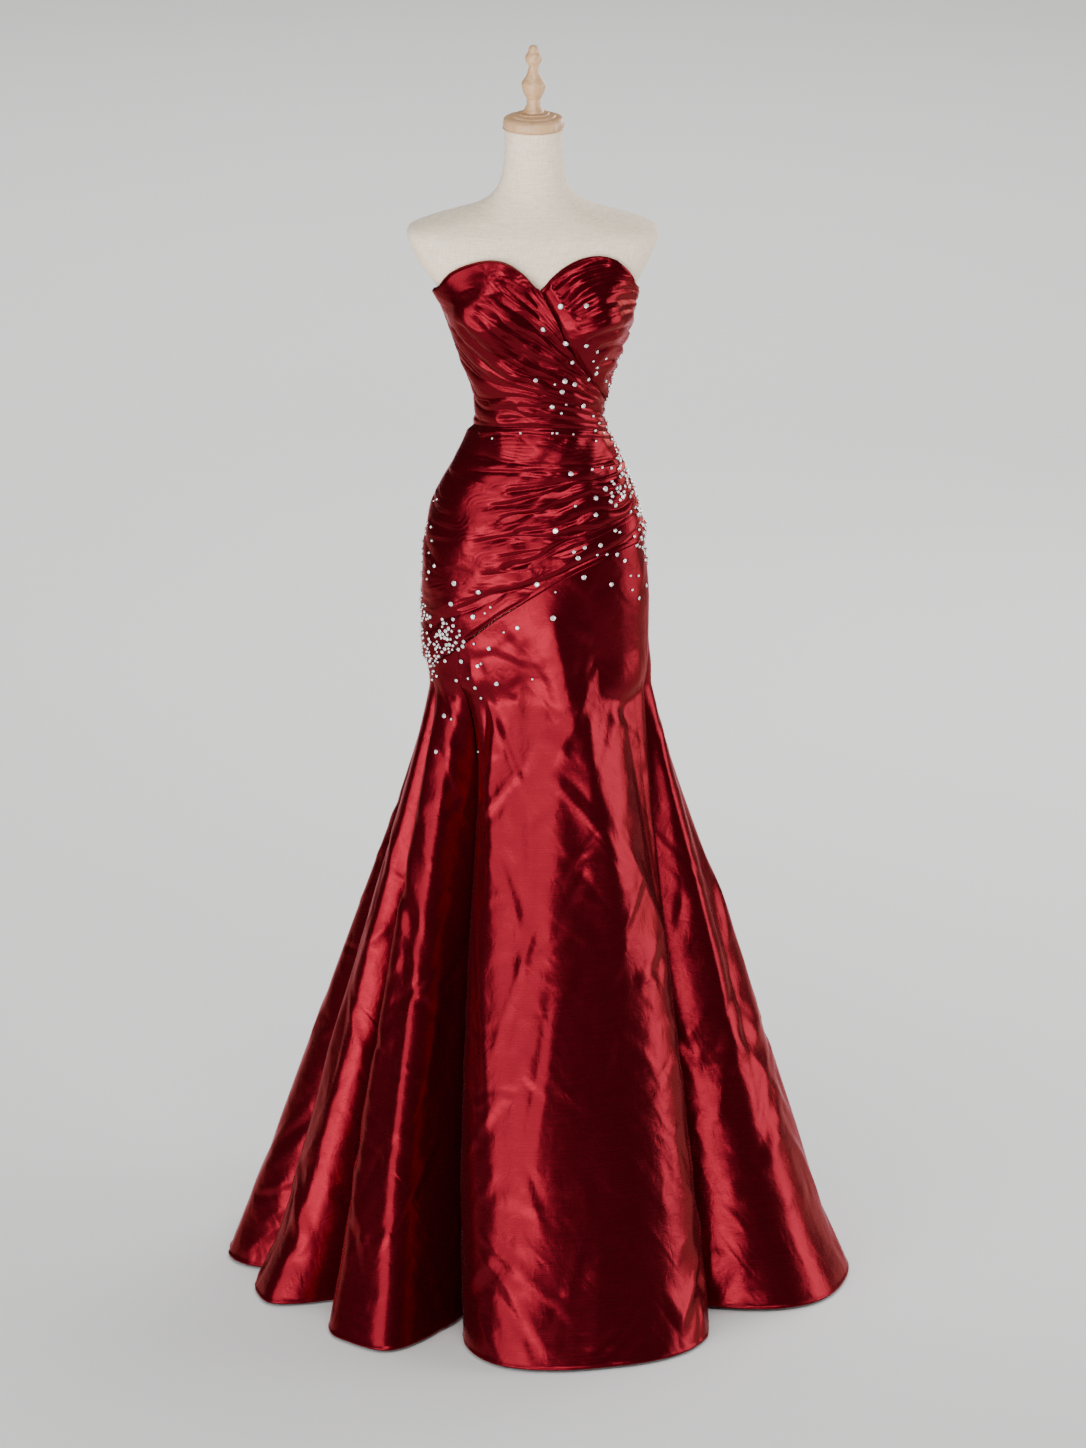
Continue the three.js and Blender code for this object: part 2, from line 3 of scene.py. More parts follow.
import bpy
import numpy as np
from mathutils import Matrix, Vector


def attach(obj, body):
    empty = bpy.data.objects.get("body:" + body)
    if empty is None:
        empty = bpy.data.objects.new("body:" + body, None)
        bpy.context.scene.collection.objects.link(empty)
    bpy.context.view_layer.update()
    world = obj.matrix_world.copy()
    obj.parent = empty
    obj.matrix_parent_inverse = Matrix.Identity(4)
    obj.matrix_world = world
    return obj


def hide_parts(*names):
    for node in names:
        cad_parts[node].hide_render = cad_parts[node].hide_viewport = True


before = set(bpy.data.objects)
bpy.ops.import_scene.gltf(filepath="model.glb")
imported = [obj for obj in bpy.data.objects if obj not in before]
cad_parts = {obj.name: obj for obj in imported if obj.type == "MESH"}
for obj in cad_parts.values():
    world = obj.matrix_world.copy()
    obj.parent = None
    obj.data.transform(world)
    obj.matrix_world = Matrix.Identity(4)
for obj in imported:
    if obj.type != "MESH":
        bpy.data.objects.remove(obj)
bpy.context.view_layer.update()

bl_info = {
    "name": "Mermaid prom dress on a dress form",
    "version": (1, 0, 0),
    "blender": (4, 5, 0),
    "location": "3D View > Sidebar > Gown",
    "description": "Drapes a taffeta gown with crystal beads over a linen dress form",
    "category": "Object",
}

# Sizes here are in millimetres and angles in degrees, as a dressmaker would note them. Angles go
# round the Z axis: 0 is the front, 90 is the wearer's left. Meshes are made in metres.
MM = 0.001
RAD = math.pi / 180

WALL = 1.8             # taffeta, lining and seam allowances together
BODY_GAP = 1.3         # from the form to the inside of the cloth
SEAM = 0.3             # between two pieces at a seam
HEM_Z = 5              # lowest edge of the skirt
SIDE_SEAM = 96         # angle of both side seams of the bodice
FORM_FOOT = 932        # lowest edge of the form's torso
HIP_LOWEST = 930       # the drapes lie between these two heights
NECK_HIGHEST = 1570


def table(columns, rows):
    """Rows with named columns."""
    return [dict(zip(columns, row)) for row in rows]


FIGURE = table(("z", "half", "shift", "front", "back", "square"), [
    (905, 150, 4, 98, 106, 2.1),
    (940, 156, 5, 102, 112, 2.1),
    (1000, 158, 5, 104, 117, 2.1),
    (1046, 159, 4, 105, 121, 2.1),
    (1091, 156, 3.5, 104, 122, 2.1),
    (1136, 151, 3.5, 102, 118, 2.1),
    (1181, 142, 3.5, 97, 110, 2.1),
    (1211, 130, 5, 92, 102, 2.1),
    (1241, 116, 6, 87, 93, 2.1),
    (1271, 99.5, 8, 82, 84, 2.1),
    (1301, 90, 9, 79, 79, 2.1),
    (1320, 88.5, 9, 79, 78, 2.1),
    (1345, 92, 9, 82, 80, 2.1),
    (1375, 100, 8, 87, 85, 2.15),
    (1405, 111, 8, 92, 90, 2.2),
    (1440, 123, 8.5, 95, 94, 2.3),
    (1479, 134, 8, 96, 96, 2.5),
    (1508, 146, 3, 93, 95, 2.6),
    (1537, 164, 0, 88, 92, 2.7),
    (1560, 174, -1, 82, 88, 2.7),
    (1578, 180, -1, 77, 83, 2.6),
    (1587, 176, -1, 74, 80, 2.5),
    (1592, 167, 0, 71, 77, 2.45),
    (1600, 144, 0, 66, 71, 2.4),
    (1610, 108, 0, 60, 65, 2.3),
    (1618, 84, 0, 56, 60, 2.2),
    (1631, 63, 0, 50, 54, 2.1),
    (1648, 50.5, 0, 45, 48, 2),
    (1670, 44, 0, 42, 43.5, 2),
    (1700, 41.5, 0, 41, 41.5, 2),
    (1731, 41, 0, 41, 41, 2),
])
# The bust: each side's distance from the middle, its height, how far it stands out on the gown and on
# the bare form, its width, its reach above and below, and how fast it sets in from the side
BUST = {"side": 68, "z": 1474, "out": 30, "form": 18, "wide": 44, "above": 50, "below": 46, "turn": 1.6}

NECKLINE = table(("angle", "z"), [
    (-180, 1472), (-140, 1474), (-110, 1483), (-SIDE_SEAM, 1494), (-78, 1505), (-66, 1516),
    (-56, 1541), (-47, 1554), (-35, 1559), (-22, 1554), (-8, 1539), (5, 1519),
    (18, 1540), (34, 1557), (48, 1564), (57, 1559), (63, 1541), (70, 1517),
    (80, 1505), (SIDE_SEAM, 1494), (110, 1483), (140, 1474), (180, 1472),
])
WRAP_EDGE = table(("angle", "z"), [
    (5, 1519), (10.5, 1485), (19.5, 1441), (36, 1397), (58, 1362), (80, 1337), (SIDE_SEAM, 1322),
])
WRAP_FOOT = table(("angle", "z"), [
    (-SIDE_SEAM, 1466), (-76, 1440), (-60, 1404), (-35, 1380), (5, 1363), (50, 1335), (SIDE_SEAM, 1302),
])
WAIST_SEAM = table(("angle", "z"), [
    (-SIDE_SEAM, 1292), (-82, 1298), (-30, 1311), (5, 1313), (50, 1302), (SIDE_SEAM, 1282),
])
HIP_SEAM = table(("angle", "z"), [
    (-180, 1035), (-150, 992), (-120, 950), (-SIDE_SEAM, 938), (-74, 953), (-64, 968), (-47, 1002),
    (-26, 1039), (17, 1092), (45, 1117), (63, 1129), (SIDE_SEAM, 1130), (125, 1108), (155, 1072),
    (180, 1035),
])
PEAK_ANGLE = -35       # top of the wrapped cup, where its free edge starts
NOTCH_ANGLE = 5        # foot of the sweetheart notch
CUP = {"turn": 78, "clear": 0.8}

VALLEYS = table(("name", "top", "hem", "radius", "start", "early"), [
    ("centre back", -180, -180, 430, 960, 1.2),
    ("back 1", -154, -156, 406, 950, 1.2),
    ("back 2", -135, -132, 422, 940, 1.3),
    ("back 3", -116, -110, 388, 930, 1.1),
    ("side right seam", -98, -85, 372, 925, 1.1),
    ("front right deep", -80, -62, 272, 930, 0.85),
    ("front deep", -56, -25.5, 188, 930, 0.7),
    ("front left deep", 86, 54, 275, 985, 1.0),
    ("side left seam", 112, 108, 405, 990, 1.2),
    ("back 4", 136, 131, 424, 985, 1.3),
    ("back 5", 157, 159, 402, 975, 1.1),
    ("centre back", 180, 180, 430, 960, 1.2),
])
LOBES = table(("from", "to", "square_from", "square_to", "kick"), [
    (478, 488, 2.6, 2, 0),
    (484, 474, 2, 2.8, 0),
    (476, 466, 2.4, 2, 0),
    (462, 452, 2.4, 3, 0),
    (408, 412, 3, 5, 14),
    (398, 410, 2, 8, 6),
    (414, 414, 4, 3.6, 8),
    (430, 474, 3.1, 2.6, 11),
    (472, 484, 2.8, 2, 0),
    (486, 480, 2, 2.4, 0),
    (488, 478, 2.2, 2.8, 0),
])
FLARE_POWER = 1.1
FLARE_EASE = 0.02      # share of the flare's height in which it leaves the hips
KICK_FROM = 0.86

# Folds of each draped piece: the valley between two gathers, with its depth and width. What the photo
# shows of it is a path of (right_px, down_px); what it hides, before it and after it going from the
# wearer's right to the left, is given as (angle, z) on the figure
FOLD_COLUMNS = ("deep", "wide", "before", "seen_px", "after")
WRAP_FOLDS = table(FOLD_COLUMNS, [
    (3.6, 5, [], [(524, 287), (540, 307), (565, 338), (585, 366)], [(60, 1367), (82, 1342)]),
    (4.6, 7, [], [(498, 277), (516, 295), (549, 326), (580, 360)], [(60, 1376), (94, 1340)]),
    (6.4, 8, [], [(489, 294), (510, 309), (545, 336), (583, 368)], [(70, 1362), (94, 1334)]),
    (7.0, 8, [], [(475, 301), (496, 317), (520, 334), (553, 354), (580, 374)], [(72, 1353), (94, 1329)]),
    (7.0, 9, [], [(471, 307), (481, 321), (506, 342), (532, 360), (565, 371), (583, 381)],
     [(70, 1348), (94, 1324)]),
    (6.4, 8, [], [(487, 338), (516, 354), (540, 366), (569, 379), (600, 400)], [(70, 1338), (94, 1318)]),
    (7.0, 9, [(-52, 1478)], [(473, 340), (496, 356), (520, 370), (546, 381)],
     [(30, 1366), (60, 1340), (94, 1312)]),
    (5.6, 8, [(-66, 1462)], [(467, 346), (487, 366), (508, 379)],
     [(0, 1373), (30, 1354), (60, 1331), (94, 1306)]),
    (3.4, 9, [(-94, 1488), (-82, 1464), (-68, 1438)], [], []),
    (3.0, 8, [(-94, 1476), (-78, 1450), (-62, 1417)], [], []),
])
CUP_FOLDS = table(FOLD_COLUMNS, [
    (3.8, 5, [], [(551, 291), (569, 275), (593, 266), (614, 263)], []),
    (4.2, 5, [], [(558, 300), (575, 284), (598, 274), (622, 274)], [(94, 1494)]),
    (4.8, 6, [], [(564, 309), (585, 291), (606, 282), (630, 282)], [(94, 1486)]),
    (3.8, 5, [], [(570, 314), (594, 298), (614, 291), (634, 289)], [(94, 1474)]),
    (5.0, 6, [], [(574, 320), (594, 310), (614, 302), (634, 299)], [(94, 1462)]),
    (4.2, 6, [], [(576, 330), (592, 325), (614, 315), (632, 309)], [(94, 1448)]),
    (5.0, 6, [], [(584, 341), (610, 332), (628, 326)], [(94, 1426)]),
    (4.4, 6, [(40, 1428), (60, 1430), (94, 1406)], [], []),
    (4.0, 5, [(48, 1404), (70, 1402), (94, 1384)], [], []),
    (3.4, 5, [(60, 1381), (76, 1375), (94, 1360)], [], []),
    (2.8, 5, [(72, 1361), (94, 1342)], [], []),
])
MIDRIFF_FOLDS = table(FOLD_COLUMNS, [
    (3.2, 6, [(-94, 1446), (-76, 1420), (-58, 1390), (-40, 1374)], [], []),
    (4.0, 6, [(-94, 1420), (-72, 1392)], [(489, 382), (524, 391), (549, 397)], []),
    (3.6, 6, [(-94, 1392)], [(477, 395), (512, 397), (540, 401), (580, 405)], []),
    (3.0, 6, [(-94, 1366), (-70, 1345), (-46, 1345)], [], []),
    (3.6, 6, [(-24, 1344), (14, 1341), (50, 1324), (94, 1299)], [], []),
    (3.2, 5, [(-94, 1340), (-60, 1330)], [(508, 410), (524, 416), (533, 424)], []),
    (3.2, 5, [(-44, 1321), (6, 1329), (50, 1312), (94, 1291)], [], []),
    (2.6, 5, [(-94, 1312), (-62, 1311), (-40, 1316)], [], []),
    (2.6, 5, [(20, 1350), (60, 1328), (94, 1298)], [], []),
])
HIP_FOLDS = table(FOLD_COLUMNS, [
    (3.6, 5, [], [(480, 438), (504, 434), (553, 436), (600, 438)], [(94, 1268)]),
    (5.0, 6, [(-78, 1260)], [(485, 458), (524, 464), (569, 465), (606, 462)], [(94, 1250)]),
    (3.6, 5, [(-64, 1242), (-30, 1248), (6, 1251), (40, 1246)], [], []),
    (5.6, 7, [], [(498, 493), (541, 488), (573, 481), (600, 478)], [(94, 1241)]),
    (6.6, 7, [], [(481, 507), (516, 503), (549, 493), (583, 483)], [(60, 1228), (94, 1232)]),
    (7.2, 8, [], [(487, 525), (512, 518), (540, 511), (569, 503), (589, 495), (614, 493)], [(94, 1222)]),
    (5.8, 7, [], [(506, 534), (540, 530), (566, 524), (594, 511), (624, 507)], [(94, 1213)]),
    (6.4, 8, [], [(470, 544), (504, 538), (545, 537), (579, 532), (606, 526), (630, 513)], [(94, 1203)]),
    (3.6, 6, [(-36, 1121), (-10, 1133), (12, 1141)], [], []),
    (6.4, 7, [], [(496, 570), (532, 562), (565, 543), (600, 532)], [(72, 1173), (94, 1193)]),
    (4.8, 6, [], [(520, 570), (541, 559), (565, 551), (590, 541), (620, 526)], [(94, 1183)]),
    (7.8, 7, [(-58, 1038)], [(477, 602), (508, 592), (540, 584), (565, 572), (594, 560), (630, 537)],
     [(94, 1172)]),
    (4.8, 7, [(-78, 986)], [(440, 621), (471, 610), (500, 597)], []),
    (3.6, 6, [(-42, 1096), (-20, 1105), (0, 1108)], [], []),
    (4.2, 5, [(0, 1082), (24, 1100), (48, 1121), (72, 1138), (94, 1158)], [], []),
    (2.4, 12, [(-94, 1150), (-74, 1112), (-54, 1096)], [], []),
    (2.4, 10, [(-94, 1060), (-80, 1040), (-60, 1060)], [], []),
    (2.4, 9, [(-94, 1240), (-76, 1226), (-56, 1227)], [], []),
    (2.0, 10, [(-94, 1192), (-76, 1177), (-58, 1178)], [], []),
])
# The draped pieces: how far their gathers puff up between the valleys, over how long a stretch a
# valley that ends on the cloth fades out, the rows and columns of the mesh, and the cut of what
# shows, with its sides in metres and its area in square metres
DRAPED_COLUMNS = ("node", "puff", "fade", "rows", "columns", "cut", "area")
DRAPED = {row["node"]: row for row in table(DRAPED_COLUMNS, [
    ("bodice_wrap", 6.8, 18, 200, 190, (0.38, 0.17), 0.043),
    ("bodice_cup", 5.2, 7, 150, 120, (0.22, 0.20), 0.032),
    ("midriff", 3.8, 14, 140, 160, (0.26, 0.17), 0.024),
    ("hip_drape", 6.0, 22, 300, 180, (0.36, 0.38), 0.105),
])}
# The width over which a draped piece rolls down to its edges, and the share of its relief left at
# the seams above and below and at the side seams
EDGE = {"roll": 8, "seam": 0.25, "side": 0.2}
# Rolled free edges: how high they stand, the share of the way up the piece where they set in, the
# share over which they rise, and for the wrap the share across it over which it starts
LIPS = {row["node"]: row for row in table(("node", "high", "from", "over", "start"), [
    ("bodice_wrap", 3.4, 0.95, 0.03, 0.2),
    ("bodice_cup", 1.0, 0.95, 0.04, 0),
    ("midriff", 0, 1, 1, 0),
    ("hip_drape", 2.4, 0.045, -0.03, 0),
])}
# Waves that make the puffs uneven: share of the puff, and mm to a radian across and up
PUFF_WAVES = ((0.16, 17, 23), (0.12, 9, -13))
# Shares of its width that the steep and the broad flank of a valley take, for each in turn
FLANKS = ((1.2, 0.8), (0.75, 1.35), (0.75, 1.35))
# A valley's rounding, the angle past which it is open to the side seam, how uneven its depth is and
# in what length, and the lowest that the cloth lies
VALLEY = {"round": 0.5, "open_past": 90, "uneven": 0.2, "wave": 11, "lowest": -0.4}
# Thin lines that run along beside the valleys: pitch, height, and the nearest and farthest they lie,
# with the widths over which they fade in and out
LINES = {"pitch": 1.9, "high": 0.55, "near": 1.5, "fade_near": 4, "far": 26, "fade_far": 8}

# Main creases of each gore: share of the way across it, height of their middle, length, lean from the
# upright (towards the wearer's left at the top), width and height (a trough is negative)
CREASE_COLUMNS = ("across", "z", "long", "lean", "wide", "high")
CREASES = {
    "skirt_front": table(CREASE_COLUMNS, [
        (0.20, 420, 800, -1, 34, 4.0),
        (0.36, 470, 760, 2, 38, -5.0),
        (0.20, 830, 190, 4, 13, -5.6),
        (0.23, 705, 170, -6, 12, -5.2),
        (0.30, 860, 170, -34, 7, 2.6),
        (0.31, 775, 110, 40, 7, 2.8),
        (0.35, 655, 120, -24, 8, 2.4),
        (0.41, 835, 150, 24, 9, 1.0),
        (0.38, 520, 190, 20, 8, 2.2),
        (0.26, 440, 260, -7, 10, -2.6),
        (0.42, 400, 230, 12, 9, -2.2),
        (0.30, 325, 110, 36, 8, 2.0),
        (0.40, 235, 90, -20, 7, 1.8),
        (0.17, 200, 170, -16, 10, -2.6),
        (0.34, 150, 90, -58, 8, 2.4),
        (0.24, 95, 120, 50, 10, 3.2),
        (0.37, 60, 100, -36, 9, -3.0),
        (0.13, 55, 80, 28, 9, 2.8),
        (0.58, 815, 470, -8, 58, 22.0),
        (0.40, 790, 420, -7, 28, -3.0),
        (0.80, 700, 420, -5, 22, -5.0),
        (0.54, 880, 120, 30, 8, 2.6),
        (0.55, 760, 110, -36, 8, 2.8),
        (0.53, 700, 90, 44, 8, -2.6),
        (0.76, 590, 260, -24, 14, 4.6),
        (0.60, 430, 240, -46, 8, 1.0),
        (0.52, 330, 210, -50, 7, -0.9),
        (0.70, 250, 190, -44, 8, 1.0),
        (0.84, 420, 300, 4, 16, -3.0),
        (0.80, 150, 190, -38, 12, 3.6),
        (0.70, 85, 150, 46, 11, 4.0),
        (0.76, 55, 110, -30, 10, -3.4),
        (0.52, 45, 110, 56, 10, 3.2),
    ]),
    "skirt_front_right": table(CREASE_COLUMNS, [
        (0.50, 720, 360, -4, 34, 8.0),
        (0.42, 520, 560, 2, 26, 4.0),
        (0.60, 480, 640, -3, 28, -4.0),
        (0.36, 640, 190, -34, 13, -2.6),
        (0.46, 590, 170, -38, 12, 2.4),
        (0.50, 430, 160, 36, 12, -2.2),
        (0.30, 240, 190, 30, 13, 2.4),
        (0.48, 150, 150, -34, 12, -2.2),
    ]),
    "skirt_side_right": table(CREASE_COLUMNS, [
        (0.40, 430, 520, 3, 24, 3.4),
        (0.62, 330, 420, -4, 24, -3.4),
        (0.45, 180, 160, 40, 12, 2.4),
        (0.58, 120, 150, -36, 12, -2.4),
    ]),
    "skirt_side_left": table(CREASE_COLUMNS, [
        (0.27, 640, 600, -3, 26, 9.0),
        (0.42, 560, 560, 4, 28, -7.0),
        (0.60, 430, 600, -3, 30, 7.0),
        (0.30, 420, 200, 34, 14, -2.6),
        (0.42, 330, 190, -36, 13, 2.6),
        (0.36, 250, 170, 38, 13, -2.4),
        (0.52, 190, 180, -30, 13, 2.4),
        (0.64, 120, 160, 36, 13, -2.4),
    ]),
    "skirt_back_left": table(CREASE_COLUMNS, [
        (0.18, 500, 520, 3, 28, 4.0),
        (0.50, 420, 560, -4, 28, -4.0),
        (0.82, 480, 520, 3, 28, 4.0),
        (0.30, 200, 180, 34, 13, 2.4),
        (0.66, 170, 180, -36, 13, -2.4),
    ]),
    "skirt_back_right": table(CREASE_COLUMNS, [
        (0.12, 480, 520, -3, 28, 4.0),
        (0.38, 420, 560, 4, 28, -4.0),
        (0.62, 460, 520, -3, 28, 4.0),
        (0.87, 420, 480, 3, 26, 4.0),
        (0.24, 190, 180, -34, 13, 2.4),
        (0.74, 160, 170, 36, 13, -2.4),
    ]),
}
# Small creases, scattered with a fixed seed: how many to a square metre, their least and most length,
# width and height in mm, and their lean either way. Taffeta crumples and buckles everywhere, and
# wrinkles run along its gathers
CRUMPLE, BUCKLE, WRINKLES = table(("density", "long", "wide", "high", "lean", "seed"), [
    (190, (35, 130), (6, 13), (0.5, 2.3), (14, 62), 7),
    (18, (140, 320), (14, 26), (1.2, 3.8), (2, 24), 11),
    (1500, (22, 60), (3, 6), (0.25, 0.8), (58, 100), 21),
])

GORES = table(("node", "first", "last", "columns"), [
    ("skirt_back_right", 0, 3, 200),
    ("skirt_side_right", 4, 4, 90),
    ("skirt_front_right", 5, 5, 130),
    ("skirt_front", 6, 6, 190),
    ("skirt_side_left", 7, 7, 150),
    ("skirt_back_left", 8, 10, 170),
])
SKIRT_ROWS = 170
HEM_ROWS = (0, 1.1, 2.2, 3.3, 4.6, 6.5)    # heights above the hem of the rows that shape its roll
INSIDE_STEP = 2        # the inside of a wall has a vertex for each so many of the outside's
HEM_ROLL = {"high": 1.1, "at": 2.2, "wide": 2.0, "inside": 0.6}
FLANK = 0.002          # share of a lobe that is left free beside each seam between two gores
# A gore's mesh: height from the roll to the next row, how its columns crowd on a lone lobe, how its
# rows crowd towards the hips, how level its creases stand out, and the share they add to its area
GORE = {"next": 3, "crowd": 0.10, "dense": 1.3, "level": 0.4, "fuller": 1.04}
# How a gore's creases fade at its seams and at the hips, how deep they may sink, below the form and
# on it, and the height and the stretch over which the second limit sets in
SINK = {"seams": 30, "top": 60, "free": -20, "on_form": -0.8, "from": FORM_FOOT - 60, "over": 50}


def mix(a, b, t):
    return a + (b - a) * t


def smooth(x):
    t = np.clip(x, 0, 1)
    return t * t * (3 - 2 * t)


def column(rows, name):
    return np.array([row[name] for row in rows], float)


def along(rows, key, name, value):
    """Smooth curve through one column of a table, against another column."""
    xs, ys = column(rows, key), column(rows, name)
    last = len(xs) - 1
    low, high = np.maximum(np.arange(last + 1) - 1, 0), np.minimum(np.arange(last + 1) + 1, last)
    slope = (ys[high] - ys[low]) / (xs[high] - xs[low])
    x = np.clip(value, xs[0], xs[-1])
    i = np.clip(np.searchsorted(xs, x) - 1, 0, last - 1)
    span = xs[i + 1] - xs[i]
    t = (x - xs[i]) / span
    return ((2 * t**3 - 3 * t**2 + 1) * ys[i] + (t**3 - 2 * t**2 + t) * span * slope[i]
            + (3 * t**2 - 2 * t**3) * ys[i + 1] + (t**3 - t**2) * span * slope[i + 1])


def figure_radius(angle, z, bust=BUST["out"]):
    """Radius of the figure at an angle and height."""
    half, front, back, square = (
        along(FIGURE, "z", name, z) for name in ("half", "front", "back", "square"))
    sin, cos = np.sin(angle * RAD), np.cos(angle * RAD)
    depth = np.where(cos > 0, front, back)
    radius = (np.abs(sin / half) ** square + np.abs(cos / depth) ** square) ** (-1 / square)
    reach = np.where(z > BUST["z"], BUST["above"], BUST["below"])
    aside = (np.abs(radius * sin) - BUST["side"]) / BUST["wide"]
    up = (z - BUST["z"]) / reach
    return radius + bust * np.exp(-aside**2 - up**2) * np.clip(cos * BUST["turn"], 0, 1)


def figure_shift(z):
    return along(FIGURE, "z", "shift", z)


def polar(angle, radius, z, shift):
    return np.stack([shift + radius * np.sin(angle * RAD), -radius * np.cos(angle * RAD), z + 0 * radius], -1)


def on_figure(angle, z, off, bust=BUST["out"]):
    """Points that stand off the figure."""
    angle, z = np.broadcast_arrays(np.asarray(angle, float), np.asarray(z, float))
    return polar(angle, figure_radius(angle, z, bust) + off, z, figure_shift(z))


def seam_line(rows, start, end, rise=0.0):
    """A seam between two angles, stepped evenly by angle."""
    def line(t):
        angle = mix(start, end, np.asarray(t, float))
        return angle, along(rows, "angle", "z", angle) + rise
    return line


def upright(angle, low, high):
    return lambda t: (angle + 0 * np.asarray(t, float), mix(low, high, np.asarray(t, float)))


def chain(*lines):
    """Several lines one after the other, stepped evenly by their length on the figure."""
    steps = 24
    parts = [line(np.arange(steps + (n == len(lines) - 1)) / steps) for n, line in enumerate(lines)]
    angle, z = (np.concatenate([part[k] for part in parts]) for k in (0, 1))
    places = on_figure(angle, z, 0)
    lengths = np.concatenate([[0], np.cumsum(np.linalg.norm(np.diff(places, axis=0), axis=1))])
    share = lengths / lengths[-1]
    return lambda t: (np.interp(t, share, angle), np.interp(t, share, z))


def patch(foot, top, left, right):
    """Four edges, as functions of 0 to 1, filled by a smooth patch of angle and height."""
    def place(u, v):
        found = []
        for k in (0, 1):
            corner = [foot(0)[k], foot(1)[k], top(0)[k], top(1)[k]]
            found.append((1 - v) * foot(u)[k] + v * top(u)[k] + (1 - u) * left(v)[k] + u * right(v)[k]
                         - (1 - u) * (1 - v) * corner[0] - u * (1 - v) * corner[1]
                         - (1 - u) * v * corner[2] - u * v * corner[3])
        return found
    return place


def arc(points, axis):
    """Running length of a grid of points along one of its axes."""
    steps = np.linalg.norm(np.diff(points, axis=axis), axis=-1)
    start = np.zeros_like(np.take(steps, [0], axis=axis))
    return np.concatenate([start, np.cumsum(steps, axis=axis)], axis=axis)


def normals(points):
    """Outward normals of a grid whose rows rise and whose columns turn to a larger angle."""
    across, up = np.gradient(points, axis=1), np.gradient(points, axis=0)
    found = np.cross(across, up)
    return found / np.maximum(np.linalg.norm(found, axis=-1, keepdims=True), 1e-9)


def thinned(count, step):
    """Every so many of a run of places, with the last one always in."""
    picked = list(range(0, count - 1, step))
    return np.array(picked + [count - 1])


def mesh_object(name, points, faces, uv=None):
    """A smooth mesh at the origin from points in mm; uv gives each vertex its place on the cut cloth."""
    mesh = bpy.data.meshes.new(name)
    mesh.from_pydata((np.asarray(points) * MM).tolist(), [], faces)
    mesh.polygons.foreach_set("use_smooth", [True] * len(mesh.polygons))
    if uv is not None:
        layer = mesh.uv_layers.new(name="cloth")
        index = np.empty(len(mesh.loops), int)
        mesh.loops.foreach_get("vertex_index", index)
        layer.data.foreach_set("uv", (np.asarray(uv)[index] * MM).ravel())
    mesh.update()
    piece = bpy.data.objects.new(name, mesh)
    bpy.context.scene.collection.objects.link(piece)
    return piece


def rim(outer, inner, turned):
    """Faces between two edges that run the same way but have different numbers of vertices."""
    faces, a, b = [], 0, 0
    while a < len(outer) - 1 or b < len(inner) - 1:
        step_outer = b == len(inner) - 1 or (a < len(outer) - 1
                                             and (a + 1) / (len(outer) - 1) <= (b + 1) / (len(inner) - 1))
        third = outer[a + 1] if step_outer else inner[b + 1]
        face = (outer[a], third, inner[b])
        faces.append(face[::-1] if turned else face)
        a, b = (a + 1, b) if step_outer else (a, b + 1)
    return faces


def squares(index):
    """Faces of a grid of vertex numbers."""
    faces = np.stack([index[:-1, :-1], index[:-1, 1:], index[1:, 1:], index[1:, :-1]], -1)
    return faces.reshape(-1, 4).tolist()


def wall(name, outer, inner):
    """Closed wall of cloth between an outer grid and a coarser inner one."""
    rows, columns = outer.shape[:2]
    step_rows, step_columns = thinned(rows, INSIDE_STEP), thinned(columns, INSIDE_STEP)
    inside = inner[step_rows][:, step_columns]
    out = np.arange(rows * columns).reshape(rows, columns)
    into = rows * columns + np.arange(inside.shape[0] * inside.shape[1]).reshape(inside.shape[:2])
    faces = squares(out) + squares(into.T)
    out, into = out.tolist(), into.tolist()
    faces += rim(out[0], into[0], True) + rim(out[-1], into[-1], False)
    faces += rim([row[0] for row in out], [row[0] for row in into], False)
    faces += rim([row[-1] for row in out], [row[-1] for row in into], True)
    uv = np.stack([arc(outer, 1) - arc(outer, 1)[:, [columns // 2]], arc(outer, 0)], -1)
    inside_uv = uv[step_rows][:, step_columns]
    points = np.concatenate([outer.reshape(-1, 3), inside.reshape(-1, 3)])
    return mesh_object(name, points, faces, np.concatenate([uv.reshape(-1, 2), inside_uv.reshape(-1, 2)]))


# The finishes made here, by name
FINISHES = {}
# Outer surfaces of the finished cloth, for the beads and stitches that are set on them
SURFACES = {}


def claim(piece, node, finish):
    """Gives a finished piece its material, hangs it from the root and hides the CAD solid it stands for."""
    piece.data.materials.append(FINISHES[finish])
    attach(piece, "root")
    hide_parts(node)


def finish_cloth(node, outer, inner, cut, area=None):
    """Makes a cloth piece of its two faces; its cut and area are not used."""
    piece = wall(node + "_cloth", outer, inner)
    SURFACES[node] = (outer, normals(outer))
    claim(piece, node, "crimson_taffeta")


# The photo as a frame: its size in pixels, mm to a pixel at the middle, the point it looks at, and
# the width of the camera's sensor. Its camera stands this far off and looks down by this angle
PHOTO = {"wide": 1086, "tall": 1448, "scale": 1.45, "target_x": 13.2, "target_z": 842.7, "sensor": 36.0,
         "far": 12000.0, "tilt": 18}


def seen_at(points):
    """Where points in mm come in the photo, in its pixels, and how far from the camera they are."""
    sin, cos = math.sin(PHOTO["tilt"] * RAD), math.cos(PHOTO["tilt"] * RAD)
    rise = points[..., 2] - PHOTO["target_z"]
    away = PHOTO["far"] + points[..., 1] * cos - rise * sin
    up = points[..., 1] * sin + rise * cos
    enlarged = PHOTO["far"] / PHOTO["scale"] / away
    across = points[..., 0] - PHOTO["target_x"]
    return PHOTO["wide"] / 2 + across * enlarged, PHOTO["tall"] / 2 - up * enlarged, away


# The net of places on the figure's front that a pixel is looked up in: the angle it reaches, its
# columns, the rise of a row, and how far it stands off the cloth
NET = {"reach": 98, "columns": 393, "rise": 1.0, "off": 2}


